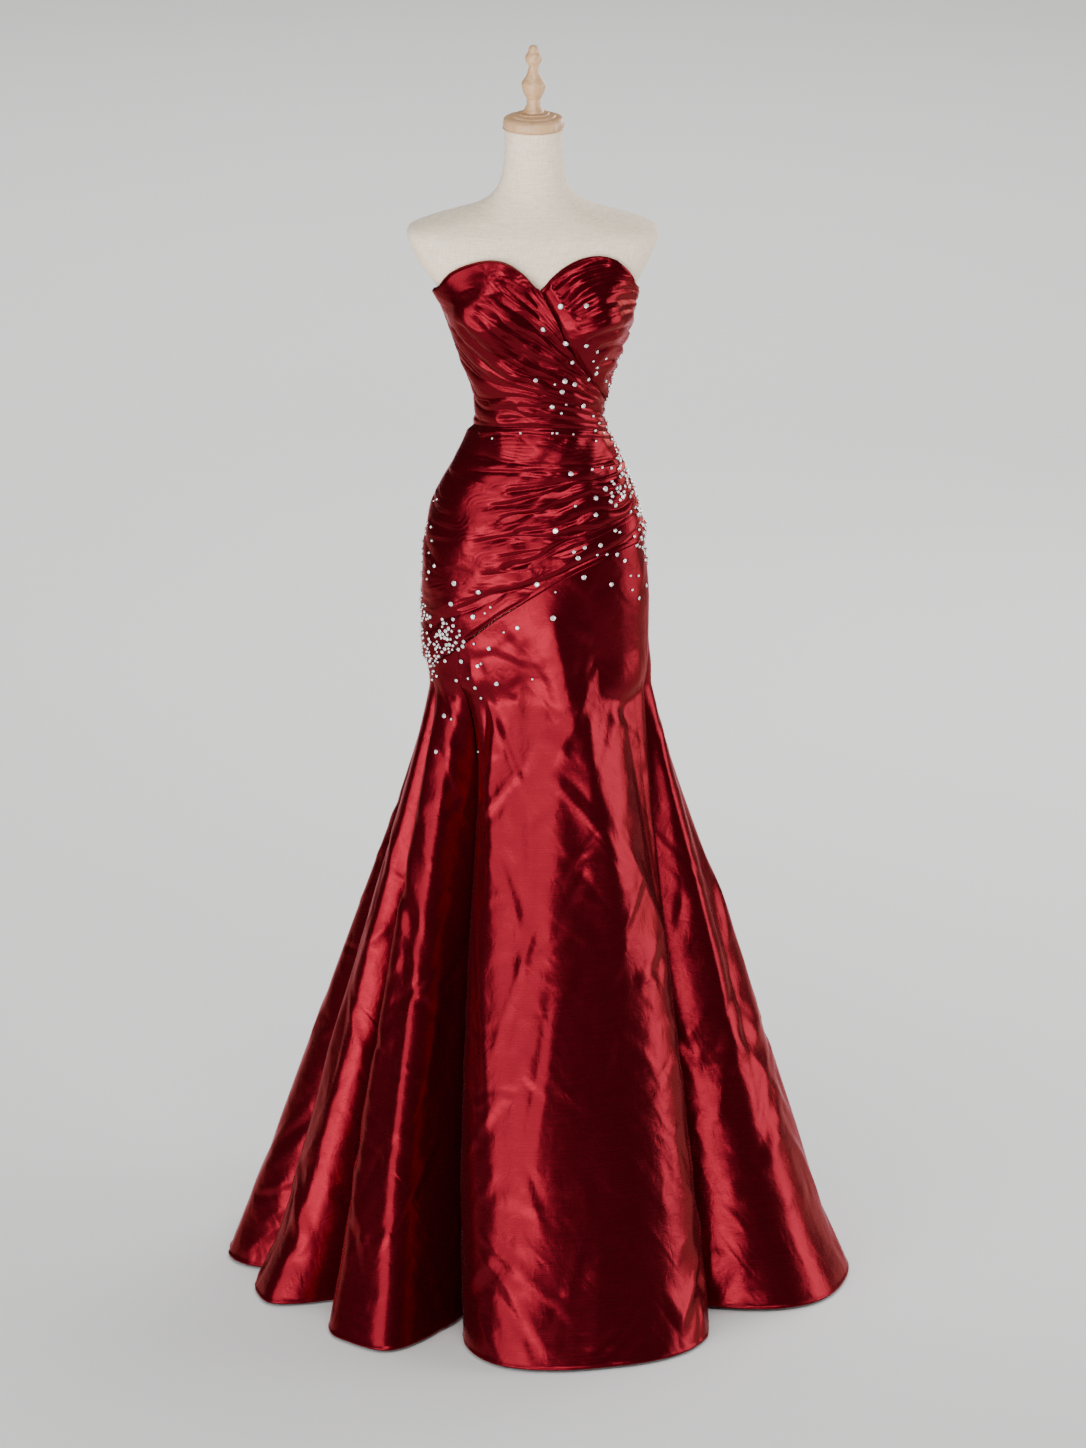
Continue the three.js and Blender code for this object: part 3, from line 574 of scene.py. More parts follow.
def fold_paths(folds):
    """The folds of a piece with their whole paths as (angle, z); the seen stretch comes from pixels."""
    angle, z = np.meshgrid(np.linspace(-NET["reach"], NET["reach"], NET["columns"]),
                           np.arange(HIP_LOWEST, NECK_HIGHEST, NET["rise"]))
    right, down, _ = seen_at(on_figure(angle, z, BODY_GAP + WALL + NET["off"]))
    found = []
    for fold in folds:
        seen = []
        for right_px, down_px in fold["seen_px"]:
            nearest = np.argmin((right - right_px) ** 2 + (down - down_px) ** 2)
            seen.append((angle.flat[nearest], z.flat[nearest]))
        found.append({**fold, "path": fold["before"] + seen + fold["after"]})
    return found


ARC_RADIUS = 110       # radius on which the angles of a fold are turned into widths
BENDS = 5              # places on the smooth curve for each point of a path
FAR = 1e9              # further than anything, in mm


def nearest_on(path, x, z):
    """Signed distance to a path, positive above it, and how far along the path that is, in mm."""
    rows = [{"at": i, "x": angle * RAD * ARC_RADIUS, "z": height} for i, (angle, height) in enumerate(path)]
    at = np.linspace(0, len(rows) - 1, BENDS * len(rows))
    px, pz = along(rows, "at", "x", at), along(rows, "at", "z", at)
    run = np.concatenate([[0], np.cumsum(np.hypot(np.diff(px), np.diff(pz)))])
    best = np.full(x.shape, FAR)
    signed, place = np.zeros(x.shape), np.zeros(x.shape)
    for i in range(len(at) - 1):
        dx, dz, long = px[i + 1] - px[i], pz[i + 1] - pz[i], run[i + 1] - run[i]
        t = np.clip(((x - px[i]) * dx + (z - pz[i]) * dz) / long**2, 0, 1)
        away = np.hypot(x - px[i] - t * dx, z - pz[i] - t * dz)
        side = np.sign((z - pz[i]) * dx - (x - px[i]) * dz)
        closer = away < best
        best = np.where(closer, away, best)
        signed, place = np.where(closer, side * away, signed), np.where(closer, run[i] + t * long, place)
    return signed, place, run[-1]


def fine_lines(distance, place, number):
    """Thin, patchy, wandering lines beside a valley, by the distance from it and the place along it."""
    phase = distance / LINES["pitch"] + 1.3 * np.sin(place / 29 + number) + 0.7 * np.sin(place / 13 - number)
    patchy = smooth(0.5 + 0.9 * np.sin(place / 21 + 1.7 * number + distance / 9))
    return LINES["high"] * patchy * (np.abs(np.sin(phase)) ** 0.6 - 0.7)


def gathers(folds, puff, fade, angle, z):
    """Height of the puffed cloth between its valleys, in mm."""
    x = angle * RAD * ARC_RADIUS
    height = puff * (1 + sum(share * np.sin(x / across + z / up) for share, across, up in PUFF_WAVES))
    valley, nearest, fine = np.zeros_like(height), np.full(height.shape, FAR), np.zeros_like(height)
    for number, fold in enumerate(folds):
        distance, place, length = nearest_on(fold["path"], x, z)
        closer = np.abs(distance) < nearest
        nearest = np.where(closer, np.abs(distance), nearest)
        fine = np.where(closer, fine_lines(distance, place, number), fine)
        steep, broad = (fold["wide"] * share for share in FLANKS[number % len(FLANKS)])
        (start, start_z), (end, end_z) = fold["path"][0], fold["path"][-1]
        above, below = (broad, steep) if end_z < start_z else (steep, broad)
        soft = np.sqrt(distance**2 + VALLEY["round"]) / np.where(distance > 0, above, below)
        deep = fold["deep"] * (1 + VALLEY["uneven"] * np.sin(place / VALLEY["wave"] + 2 * number))
        if abs(start) <= VALLEY["open_past"]:
            deep = deep * smooth(place / fade)
        if abs(end) <= VALLEY["open_past"]:
            deep = deep * smooth((length - place) / fade)
        valley = np.maximum(valley, deep * np.exp(-soft))
    fine *= smooth((nearest - LINES["near"]) / LINES["fade_near"])
    fine *= smooth((LINES["far"] - nearest) / LINES["fade_far"])
    return np.maximum(height - valley + fine, VALLEY["lowest"])


def rolled_edge(node, u, v):
    """Height of a draped piece's rolled free edge, in mm."""
    lip = LIPS[node]
    rise = lip["high"] * smooth((v - lip["from"]) / lip["over"])
    return rise * smooth(u / lip["start"]) if lip["start"] else rise


def draped_piece(node, edges, folds, free_top=False):
    """A draped front piece with its gathers."""
    row = DRAPED[node]
    u, v = np.meshgrid(np.linspace(0, 1, row["columns"]), np.linspace(0, 1, row["rows"]))
    place = patch(*edges)
    angle, z = place(u, v)
    low, high = on_figure(*place(u[0], 0 * u[0]), 0), on_figure(*place(u[0], 0 * u[0] + 1), 0)
    span = np.linalg.norm(high - low, axis=-1)[None, :]
    roll = smooth(v * span / EDGE["roll"])
    if not free_top:
        roll = roll * smooth((1 - v) * span / EDGE["roll"])
    relief = gathers(fold_paths(folds), row["puff"], row["fade"], angle, z) * mix(EDGE["seam"], 1, roll)
    relief += scattered(angle * RAD * ARC_RADIUS, z, WRINKLES["seed"] + len(node), WRINKLES) * roll
    across = arc(on_figure(angle, z, 0), 1)
    sides = np.minimum(across, across[:, [-1]] - across)
    relief *= mix(EDGE["side"], 1, smooth(sides / EDGE["roll"]))
    outer = on_figure(angle, z, BODY_GAP + WALL + np.maximum(relief, rolled_edge(node, u, v)))
    inner = on_figure(angle, z, BODY_GAP)
    finish_cloth(node, outer, inner, row["cut"], row["area"])


def scattered(across, up, seed, kind):
    """Small creases over a stretch of cloth whose vertices lie at (across, up), in mm."""
    rng = np.random.default_rng(seed)
    wide, tall = np.ptp(across), np.ptp(up)
    relief = np.zeros(np.broadcast(across, up).shape)
    across, up = np.broadcast_arrays(across, up)
    for _ in range(int(kind["density"] * wide * tall * MM * MM)):
        at = across.min() + wide * rng.random(), up.min() + tall * rng.random()
        long, width, high, lean = (rng.uniform(*kind[k]) for k in ("long", "wide", "high", "lean"))
        lean *= rng.choice([-1, 1])
        high *= rng.choice([-1, 1])
        near = (np.abs(across - at[0]) < long) & (np.abs(up - at[1]) < long)
        relief[near] += crease(across[near] - at[0], up[near] - at[1], long, lean, width, high)
    return relief


# Shape of a crease, in its own widths: its bow, how sharp its crest is, and the lesser crease of the
# other kind beside it
BOW = 1.2
CREST = {"fall": 1.6, "round": 0.05}
BESIDE = {"share": 0.5, "at": 1.7}


def crease(across, up, long, lean, wide, high):
    """A soft trough or ridge that tapers to its ends, with a lesser one of the other kind beside it."""
    sin, cos = math.sin(lean * RAD), math.cos(lean * RAD)
    side, line = (across * cos - up * sin) / wide, (across * sin + up * cos) / long
    taper = np.exp(-(2 * line) ** 4)
    bend = side + BOW * line**2
    crest = np.exp(-np.sqrt(CREST["fall"] * bend**2 + CREST["round"]))
    return high * taper * (crest - BESIDE["share"] * np.exp(-(bend - BESIDE["at"]) ** 2))


HALF_SEAM_ANGLE = SEAM / 2 / 85 / RAD      # half the seam, at the narrowest radius of the sides
SLANT_GAP = 0.3
HIP_GAP = 0.55
LEFT_END = -SIDE_SEAM + HALF_SEAM_ANGLE
RIGHT_END = SIDE_SEAM - HALF_SEAM_ANGLE


def height_at(rows, angle, rise=0.0):
    return along(rows, "angle", "z", angle) + rise


def skirt_point(lobe, z):
    """Points of the skirt's outside; lobe counts the lobes from the centre back."""
    n = np.clip(np.floor(lobe).astype(int), 0, len(LOBES) - 1)
    t = lobe - n
    a = {name: column(VALLEYS, name)[n] for name in ("top", "hem", "radius", "start", "early")}
    b = {name: column(VALLEYS, name)[n + 1] for name in ("top", "hem", "radius", "start", "early")}
    c = {name: column(LOBES, name)[n] for name in ("from", "to", "square_from", "square_to", "kick")}
    start = mix(a["start"], b["start"], smooth(t))
    down = np.clip((start - z) / (start - HEM_Z), 0, 1)
    down = (np.hypot(down, FLARE_EASE) - FLARE_EASE) / (math.hypot(1, FLARE_EASE) - FLARE_EASE)
    angle = mix(mix(a["top"], b["top"], t), mix(a["hem"], b["hem"], t), down)
    flare = down**FLARE_POWER
    hollow = np.abs(2 * t - 1) ** np.where(t < 0.5, c["square_from"], c["square_to"])
    kick = c["kick"] * (1 - hollow) * smooth((down - KICK_FROM) / (1 - KICK_FROM)) ** 2
    crest = mix(c["from"], c["to"], t)
    early = np.where(t < 0.5, a["early"], b["early"])
    drop = (crest - mix(a["radius"], b["radius"], t)) * hollow * down**early
    body = figure_radius(angle, z) + BODY_GAP + WALL
    return polar(angle, mix(body, crest, flare) - drop + kick, z, figure_shift(z) * (1 - flare))


def gore_relief(node, first, across, z):
    """Heights of a gore's scattered creases and of its main ones, in mm."""
    columns = across.shape[1]
    middle = across[:, [columns // 2]]
    relief = sum(scattered(across - middle, z, kind["seed"] + first, kind) for kind in (CRUMPLE, BUCKLE))
    for row in CREASES[node]:
        at = across[:, [int(row["across"] * (columns - 1))]]
        relief += crease(across - at, z - row["z"], row["long"], row["lean"], row["wide"], row["high"])
    return relief


def gore(node, first, last, columns):
    """One gore of the skirt, from one valley to another, with its creases and rolled hem."""
    lobes = last - first + 1
    even = np.linspace(0, lobes, columns)
    crowded = even - GORE["crowd"] * np.sin(2 * math.pi * (even % 1)) * (lobes == 1)
    places = first + FLANK + crowded * (lobes - 2 * FLANK) / lobes
    top = np.array([height_at(HIP_SEAM, skirt_angle(place), -HIP_GAP) for place in places])
    share = np.linspace(0, 1, SKIRT_ROWS - len(HEM_ROWS))
    share = mix(share, 1 - (1 - share) ** GORE["dense"], 0.5)
    base = HEM_Z + HEM_ROWS[-1] + GORE["next"]
    z = np.concatenate([
        np.repeat(HEM_Z + np.array(HEM_ROWS)[:, None], columns, 1),
        base + share[:, None] * (top - base)[None, :]])
    surface = skirt_point(np.repeat(places[None, :], len(z), 0), z)
    away = normals(surface)
    away[..., 2] *= GORE["level"]
    away /= np.linalg.norm(away, axis=-1, keepdims=True)
    across = arc(surface, 1)
    edge = np.minimum(across, across[:, [-1]] - across)
    relief = gore_relief(node, first, across, z)
    relief *= smooth(edge / SINK["seams"]) * smooth((top[None, :] - z) / SINK["top"])
    sunk = mix(SINK["free"], SINK["on_form"], smooth((z - SINK["from"]) / SINK["over"]))
    relief = np.maximum(relief, sunk)
    hem = HEM_ROLL["high"] * np.exp(-((z - HEM_Z - HEM_ROLL["at"]) / HEM_ROLL["wide"]) ** 2)
    outer = surface + away * (relief + hem)[..., None]
    inner = surface + away * (relief - WALL - HEM_ROLL["inside"] * hem)[..., None]
    cut = float(across[0, -1]) * MM, float(top.max() - HEM_Z) * MM
    area = float(np.mean(across[:, -1]) * np.mean(top - HEM_Z)) * MM * MM * GORE["fuller"]
    finish_cloth(node, outer, inner, cut, area)


def skirt_angle(lobe):
    """Angle of a place on the skirt at the hips."""
    n = min(len(LOBES) - 1, int(lobe))
    return mix(VALLEYS[n]["top"], VALLEYS[n + 1]["top"], lobe - n)


class Graph:
    """Builds one node tree: any node comes from add, and sums are written as expressions."""

    def __init__(self, tree):
        self.tree = tree

    def add(self, kind, settings=None, inputs=None):
        node = self.tree.nodes.new(kind)
        for name, value in (settings or {}).items():
            if name == "stops":
                ramp = node.color_ramp
                while len(ramp.elements) < len(value):
                    ramp.elements.new(0.5)
                for element, (position, colour) in zip(ramp.elements, value):
                    element.position, element.color = position, (*colour, 1)
            else:
                setattr(node, name, value)
        for name, value in (inputs or {}).items():
            self.plug(node.inputs[name], value)
        return node

    def plug(self, socket, value):
        if isinstance(value, Value):
            self.tree.links.new(value.socket, socket)
        else:
            socket.default_value = value

    def value(self, node, output=0):
        return Value(self, node.outputs[output])

    def math(self, operation, *terms):
        return self.value(self.add("ShaderNodeMath", {"operation": operation}, dict(enumerate(terms))))


class Value:
    """A socket in an expression; each operator adds a Math node."""

    def __init__(self, graph, socket):
        self.graph, self.socket = graph, socket

    def __add__(self, other):
        return self.graph.math("ADD", self, other)

    def __radd__(self, other):
        return self.graph.math("ADD", other, self)

    def __sub__(self, other):
        return self.graph.math("SUBTRACT", self, other)

    def __rsub__(self, other):
        return self.graph.math("SUBTRACT", other, self)

    def __mul__(self, other):
        return self.graph.math("MULTIPLY", self, other)

    def __rmul__(self, other):
        return self.graph.math("MULTIPLY", other, self)

    def __pow__(self, other):
        return self.graph.math("POWER", self, other)


def new_material(name):
    material = FINISHES[name] = bpy.data.materials.new(name)
    material.use_nodes = True
    return Graph(material.node_tree)


def dress(graph, values):
    """Plugs what varies into the shader, and sets what doesn't on the shader's own sockets."""
    shader = graph.tree.nodes["Principled BSDF"]
    for name, value in values.items():
        graph.plug(shader.inputs[name], value)


def coordinates(graph, kind="Object"):
    return graph.value(graph.add("ShaderNodeTexCoord"), kind)


def noise(graph, vector, scale, detail=3.0, roughness=0.5, distortion=0.0, kind="FBM"):
    node = graph.add("ShaderNodeTexNoise", {"noise_type": kind, "normalize": True}, {
        "Vector": vector, "Scale": scale, "Detail": detail, "Roughness": roughness, "Distortion": distortion})
    return graph.value(node)


def streaks(graph, vector, scale, detail, roughness, distortion=0.0):
    """Noise of different fineness along each axis."""
    return noise(graph, stretched(graph, vector, scale), 1.0, detail, roughness, distortion)


def stretched(graph, vector, scale):
    return graph.value(graph.add("ShaderNodeMapping", None, {"Vector": vector, "Scale": scale}))


def turned_by(graph, vector, degrees):
    turn = tuple(part * RAD for part in degrees)
    return graph.value(graph.add("ShaderNodeMapping", None, {"Vector": vector, "Rotation": turn}))


# Sockets of a Mix node when it mixes colours
MIX_FACTOR, MIX_A, MIX_B, MIX_RESULT = 0, 6, 7, 2


def blend(graph, factor, a, b):
    inputs = {MIX_FACTOR: factor, MIX_A: (*a, 1), MIX_B: (*b, 1)}
    return graph.value(graph.add("ShaderNodeMix", {"data_type": "RGBA"}, inputs), MIX_RESULT)


def bump(graph, height, strength, distance, normal=None):
    inputs = {"Height": height, "Strength": strength, "Distance": distance}
    if normal is not None:
        inputs["Normal"] = normal
    return graph.value(graph.add("ShaderNodeBump", None, inputs))


def taffeta_material(settings):
    """Crisp, shiny taffeta: fine cross ribs, slubs, and crumples that catch the light."""
    graph = new_material("crimson_taffeta")
    cloth, place = coordinates(graph, "UV"), coordinates(graph)
    ribs = streaks(graph, cloth, (90, 1400, 1), 2, 0.6)
    slubs = streaks(graph, cloth, (14, 420, 1), 3, 0.6)
    crumple = noise(graph, place, 15, 2, 0.5, 0.8, "RIDGED_MULTIFRACTAL")
    soft = noise(graph, place, 6, 2, 0.5, 0.4)
    fine = noise(graph, stretched(graph, place, (1, 1, 0.6)), 60, 3, 0.5, 1.2)
    aslant = stretched(graph, turned_by(graph, place, (0, 38, 0)), (1, 1, 0.25))
    strokes = noise(graph, aslant, 34, 2, 0.5, 0.6, "RIDGED_MULTIFRACTAL")
    weave = bump(graph, ribs, 1, 0.00003)
    small = bump(graph, fine, 1, settings.crumple * 0.0012, weave)
    lines = bump(graph, strokes, 1, settings.crumple * 0.0022, small)
    dress(graph, {
        "Base Color": blend(graph, soft * 0.5 + slubs * 0.5, settings.cloth_deep, settings.cloth_light),
        "Roughness": 0.17 + slubs * 0.12 + fine * 0.06,
        "Metallic": settings.cloth_lustre,
        "Specular Tint": (0.8, 0.22, 0.28, 1),
        "Sheen Weight": 0.04,
        "Sheen Roughness": 0.35,
        "Sheen Tint": (1.0, 0.25, 0.3, 1),
        "Normal": bump(graph, crumple + soft * 1.2, 1, settings.crumple * 0.006, lines),
    })


def thread_material():
    """Twisted polyester thread, a shade darker than the taffeta."""
    graph = new_material("crimson_thread")
    twist = streaks(graph, coordinates(graph), (1800, 1800, 900), 2, 0.6)
    dress(graph, {
        "Base Color": blend(graph, twist, (0.10, 0.002, 0.008), (0.22, 0.006, 0.018)),
        "Roughness": 0.38 + twist * 0.2,
        "Sheen Weight": 0.1,
        "Normal": bump(graph, twist, 1, 0.00006),
    })


def linen_material(settings):
    """Plain matte linen with its threads and slubs."""
    graph = new_material("linen_cover")
    place = coordinates(graph)
    warp = streaks(graph, place, (460, 460, 60), 2, 0.6)
    weft = streaks(graph, place, (60, 60, 460), 2, 0.6)
    cloud = noise(graph, place, 7, 4, 0.55)
    tone = (warp * 0.45 + weft * 0.45 + cloud * 0.1 - 0.5) * 2.4 + 0.5
    dress(graph, {
        "Base Color": blend(graph, tone, settings.linen_deep, settings.linen_light),
        "Roughness": 0.85 + cloud * 0.12,
        "Sheen Weight": 0.15,
        "Normal": bump(graph, warp + weft, 1, 0.00025),
    })


def wood_material(settings):
    """Pale turned beech: long grain, short flecks and a satin varnish."""
    graph = new_material("beech")
    place = coordinates(graph)
    grain = streaks(graph, place, (60, 60, 5), 5, 0.6, 1.5)
    flecks = streaks(graph, place, (420, 420, 50), 3, 0.7)
    cloud = noise(graph, place, 16, 3, 0.5)
    stops = [(0.25, settings.wood_deep), (0.55, settings.wood_mid), (0.8, settings.wood_light)]
    tone = grain * 0.6 + cloud * 0.3 + flecks * 0.1
    ramp = graph.add("ShaderNodeValToRGB", {"stops": stops}, {"Fac": tone})
    dress(graph, {
        "Base Color": graph.value(ramp),
        "Roughness": 0.34 + flecks * 0.14,
        "Coat Weight": 0.25,
        "Coat Roughness": 0.25,
        "Normal": bump(graph, grain * 0.6 + flecks * 0.4, 0.15, 0.0008),
    })


def steel_material():
    """Black satin paint on the pole, with a faint orange peel and rubbed patches."""
    graph = new_material("black_steel")
    place = coordinates(graph)
    peel = noise(graph, place, 500, 2, 0.5)
    rubbed = noise(graph, place, 22, 4, 0.6)
    dress(graph, {
        "Base Color": blend(graph, rubbed ** 3, (0.018, 0.018, 0.02), (0.06, 0.06, 0.065)),
        "Roughness": 0.34 + rubbed * 0.2,
        "Metallic": 0.4,
        "Normal": bump(graph, peel, 0.12, 0.0004),
    })


def crystal_materials():
    """Foil-backed crystals, whose near-white, partly diffuse colour is painted sparkle in place of the glints
    of their cut faces, and the silver cups and beads that hold them.
    """
    graph = new_material("cut_crystal")
    cloud = noise(graph, coordinates(graph), 260, 2, 0.5)
    dress(graph, {
        # Near-white colour with a diffuse part: painted sparkle that stands in for the stones' glints
        "Base Color": blend(graph, cloud, (0.80, 0.82, 0.86), (0.98, 0.98, 1.0)),
        "Roughness": 0.03 + cloud * 0.06,
        "Metallic": 0.45,
        "Coat Weight": 1.0,
        "Coat Roughness": 0.02,
    })
    graph = new_material("silver")
    worn = noise(graph, coordinates(graph), 340, 3, 0.6)
    dress(graph, {
        "Base Color": blend(graph, worn, (0.74, 0.73, 0.73), (0.96, 0.95, 0.94)),
        "Roughness": 0.16 + worn * 0.2,
        "Metallic": 0.7,
    })


def floor_material(settings):
    """Smooth pale floor, a little cloudy."""
    graph = new_material("studio_floor")
    cloud = noise(graph, coordinates(graph), 1.5, 3, 0.5)
    shade = [part * 0.97 for part in settings.floor_colour]
    dress(graph, {"Base Color": blend(graph, cloud, settings.floor_colour, shade), "Roughness": 0.8})


def tint(name, description, colour):
    return bpy.props.FloatVectorProperty(
        name=name, description=description, subtype="COLOR", size=3, min=0, max=1, default=colour)


def factor(name, description, default, least=0.0, most=1.0):
    return bpy.props.FloatProperty(
        name=name, description=description, subtype="FACTOR", min=least, max=most, default=default)


def power(name, description, watts):
    return bpy.props.FloatProperty(
        name=name, description=description, subtype="POWER", unit="POWER", min=0, default=watts)


class GownSettings(bpy.types.PropertyGroup):
    """Finishes of the gown, the form and its stand."""
    cloth_deep: tint("Cloth, deep", "Taffeta in its darker threads", (0.085, 0.0020, 0.0060))
    cloth_light: tint("Cloth, light", "Taffeta in its lighter threads", (0.145, 0.0042, 0.0105))
    cloth_lustre: factor("Lustre", "How much of the cloth's light is a tinted shine", 0.80)
    crumple: factor("Crumple", "Strength of the small crumples", 0.38)
    linen_deep: tint("Linen, deep", "Linen between its threads", (0.74, 0.57, 0.41))
    linen_light: tint("Linen, light", "Linen on its threads", (1.0, 0.88, 0.69))
    wood_deep: tint("Wood, deep", "Late wood", (0.42, 0.21, 0.09))
    wood_mid: tint("Wood, mid", "Middle of the grain", (0.66, 0.40, 0.21))
    wood_light: tint("Wood, light", "Early wood", (0.82, 0.58, 0.36))
    bead_scale: factor("Bead scale", "Times the beads' usual widths", 1.18, 0.5, 1.5)


class StudioSettings(bpy.types.PropertyGroup):
    """Floor, camera and lights."""
    distance: bpy.props.FloatProperty(
        name="Camera distance", description="From the camera to the gown", subtype="DISTANCE", unit="LENGTH",
        min=2, max=30, default=PHOTO["far"] * MM)
    elevation: bpy.props.FloatProperty(
        name="Camera elevation", description="How far the camera looks down", subtype="ANGLE",
        unit="ROTATION", default=PHOTO["tilt"] * RAD)
    floor_colour: tint("Floor", "Colour of the floor", (0.80, 0.79, 0.78))
    key: power("Key light", "Softbox in front on the gown's right", 82)
    low: power("Low light", "Long softbox near the floor under the key", 23)
    centre: power("Centre light", "Softbox below the camera's view", 42)
    front: power("Front light", "Softbox above the camera's view", 38)
    back: power("Back light", "Softbox behind the gown, on its left", 60)
    top: power("Top light", "Large softbox overhead", 350)
    fill: power("Fill light", "Weak softbox on the gown's left", 27)


# The softboxes in metres, with the spread of their light in degrees
SOFTBOXES = table(("name", "size", "place", "aim", "spread"), [
    ("key", (3.1, 2.7), (-1.9, -2.75, 1.5), (0, 0, 1.3), 150),
    ("centre", (2.8, 1.5), (-0.6, -7.5, 0.85), (0, 0, 1.3), 150),
    ("low", (3.6, 0.6), (-1.1, -2.8, 0.32), (0, 0, 1.5), 110),
    ("front", (3.0, 1.2), (0.3, -3.4, 4.1), (0, 0, 1.2), 100),
    ("top", (8, 8), (0.0, 5.4, 6.6), (0, 5.4, 0), 90),
    ("back", (3, 2.6), (2.6, 3.4, 2.2), (0, 0, 0.9), 120),
    ("fill", (1.9, 2.6), (3.3, 0.2, 1.4), (0, 0, 0.8), 90),
])
SKY = {"Color": (0.9, 0.92, 0.95, 1), "Strength": 0.045}
FLOOR_HALF = 15000
CAMERA_SEES = 100      # metres


def softbox(watts, name, size, place, aim, spread):
    light = bpy.data.lights.new(name, "AREA")
    light.energy = watts
    light.shape = "RECTANGLE"
    light.size, light.size_y = size
    light.spread = spread * RAD
    holder = bpy.data.objects.new(name, light)
    holder.location = place
    holder.rotation_euler = (Vector(aim) - Vector(place)).to_track_quat("-Z", "Y").to_euler()
    bpy.context.scene.collection.objects.link(holder)


class GOWN_OT_stage(bpy.types.Operator):
    """Make the camera, the lights and the pale floor"""
    bl_idname = "gown.stage"
    bl_label = "Studio"

    def execute(self, context):
        studio, gown = context.scene.studio, context.scene.gown
        data = bpy.data.cameras.new("camera")
        focal_px = studio.distance / (PHOTO["scale"] * MM)
        data.lens = focal_px / PHOTO["tall"] * PHOTO["sensor"]
        data.sensor_width = PHOTO["sensor"]
        data.clip_end = CAMERA_SEES
        camera = bpy.data.objects.new("camera", data)
        camera.location = (
            PHOTO["target_x"] * MM, -studio.distance * math.cos(studio.elevation),
            PHOTO["target_z"] * MM + studio.distance * math.sin(studio.elevation))
        camera.rotation_euler = (math.pi / 2 - studio.elevation, 0, 0)
        context.scene.collection.objects.link(camera)
        context.scene.camera = camera

        floor_material(studio)
        corners = [(x * FLOOR_HALF, y * FLOOR_HALF, 0) for x, y in ((-1, -1), (1, -1), (1, 1), (-1, 1))]
        floor = mesh_object("floor", corners, [(0, 1, 2, 3)])
        floor.data.materials.append(FINISHES["studio_floor"])

        for box in SOFTBOXES:
            softbox(getattr(studio, box["name"]), **box)
        world = bpy.data.worlds.new("studio")
        world.use_nodes = True
        for name, value in SKY.items():
            world.node_tree.nodes["Background"].inputs[name].default_value = value
        context.scene.world = world

        taffeta_material(gown)
        thread_material()
        linen_material(gown)
        wood_material(gown)
        steel_material()
        crystal_materials()
        return {"FINISHED"}


# The linen lies this far under the CAD's torso where the gown covers it, up to "from", and comes out
# to it at "to", above the gown
FORM_INSET = {"under": 2.6, "from": 1480, "to": 1600}
FORM_AROUND = 160
# Heights of the torso's rings above its foot, with how far its lower edge is rounded in at each, and
# then the runs of rings up to the shoulders and to the neck
FOOT_RINGS = ((0, 6), (1.5, 3), (4, 1), (8, 0))
TORSO_RUNS = ((FORM_FOOT + 24, 1460, 40), (1466, 1731, 110))


def capped(name, rings, foot, top):
    """A closed mesh of stacked rings, with a fan of triangles at either end."""
    around = rings.shape[1]
    points = np.concatenate([rings.reshape(-1, 3), [foot, top]])
    index = np.arange(rings.shape[0] * around).reshape(-1, around)
    wrapped = np.concatenate([index, index[:, :1]], 1)
    low, high = wrapped[0].tolist(), wrapped[-1].tolist()
    faces = squares(wrapped)
    faces += [(low[i + 1], low[i], index.size) for i in range(around)]
    faces += [(high[i], high[i + 1], index.size + 1) for i in range(around)]
    return mesh_object(name, points, faces)


class GOWN_OT_form(bpy.types.Operator):
    """Cover the dress form's torso with linen"""
    bl_idname = "gown.form"
    bl_label = "Linen torso"

    def execute(self, context):
        runs = [np.linspace(*run) for run in TORSO_RUNS]
        heights = np.concatenate([[FORM_FOOT + rise for rise, _ in FOOT_RINGS], *runs])
        rounding = np.zeros(len(heights))
        rounding[:len(FOOT_RINGS)] = [inward for _, inward in FOOT_RINGS]
        angle = np.arange(FORM_AROUND) * 360 / FORM_AROUND
        out = smooth((heights - FORM_INSET["from"]) / (FORM_INSET["to"] - FORM_INSET["from"]))
        off = -(FORM_INSET["under"] * (1 - out) + rounding)
        rings = on_figure(angle[None, :], heights[:, None], off[:, None], BUST["form"])
        foot, top = (figure_shift(FORM_FOOT), 0, FORM_FOOT), (0, 0, heights[-1])
        torso = capped("form_torso_linen", rings, foot, top)
        claim(torso, "form_torso", "linen_cover")
        return {"FINISHED"}


# Outlines of the turned pieces, from the middle of their foot to the middle of their top: radius and z
CAP_PROFILE = [
    (0, 1731.3), (40.5, 1731.3), (42.4, 1732.2), (43.4, 1734.6), (43.6, 1738), (43.2, 1742), (42, 1744.8),
    (39.6, 1746.6), (36, 1747.6), (33, 1747.9), (31.4, 1748.4), (30.6, 1749.6), (29, 1750.3), (24, 1751.2),
    (22.6, 1751.5), (21.6, 1752.4), (20, 1753), (0, 1753),
]
FINIAL_PROFILE = [
    (0, 1753.3), (13.6, 1753.3), (14.7, 1754.2), (14.5, 1756), (12.6, 1759.4), (11, 1762.4), (9.8, 1766),
    (10.2, 1769), (9.7, 1773), (11, 1775), (12.6, 1778), (14.6, 1782), (16, 1787), (16.8, 1791),
    (17.2, 1794), (16.6, 1797), (14.6, 1800.4), (12, 1804), (10.2, 1807.4), (8.8, 1811), (7.5, 1817),
    (7.3, 1820), (8.2, 1823.2), (10.2, 1826), (11.7, 1829), (12, 1832), (11.4, 1835), (9.8, 1838.6),
    (8, 1841), (7.6, 1844), (7.3, 1846.2), (6, 1848.8), (3.6, 1850.4), (0, 1851),
]


TURNED_AROUND = 96
TURNED_STEPS = 3       # rings from one point of an outline to the next


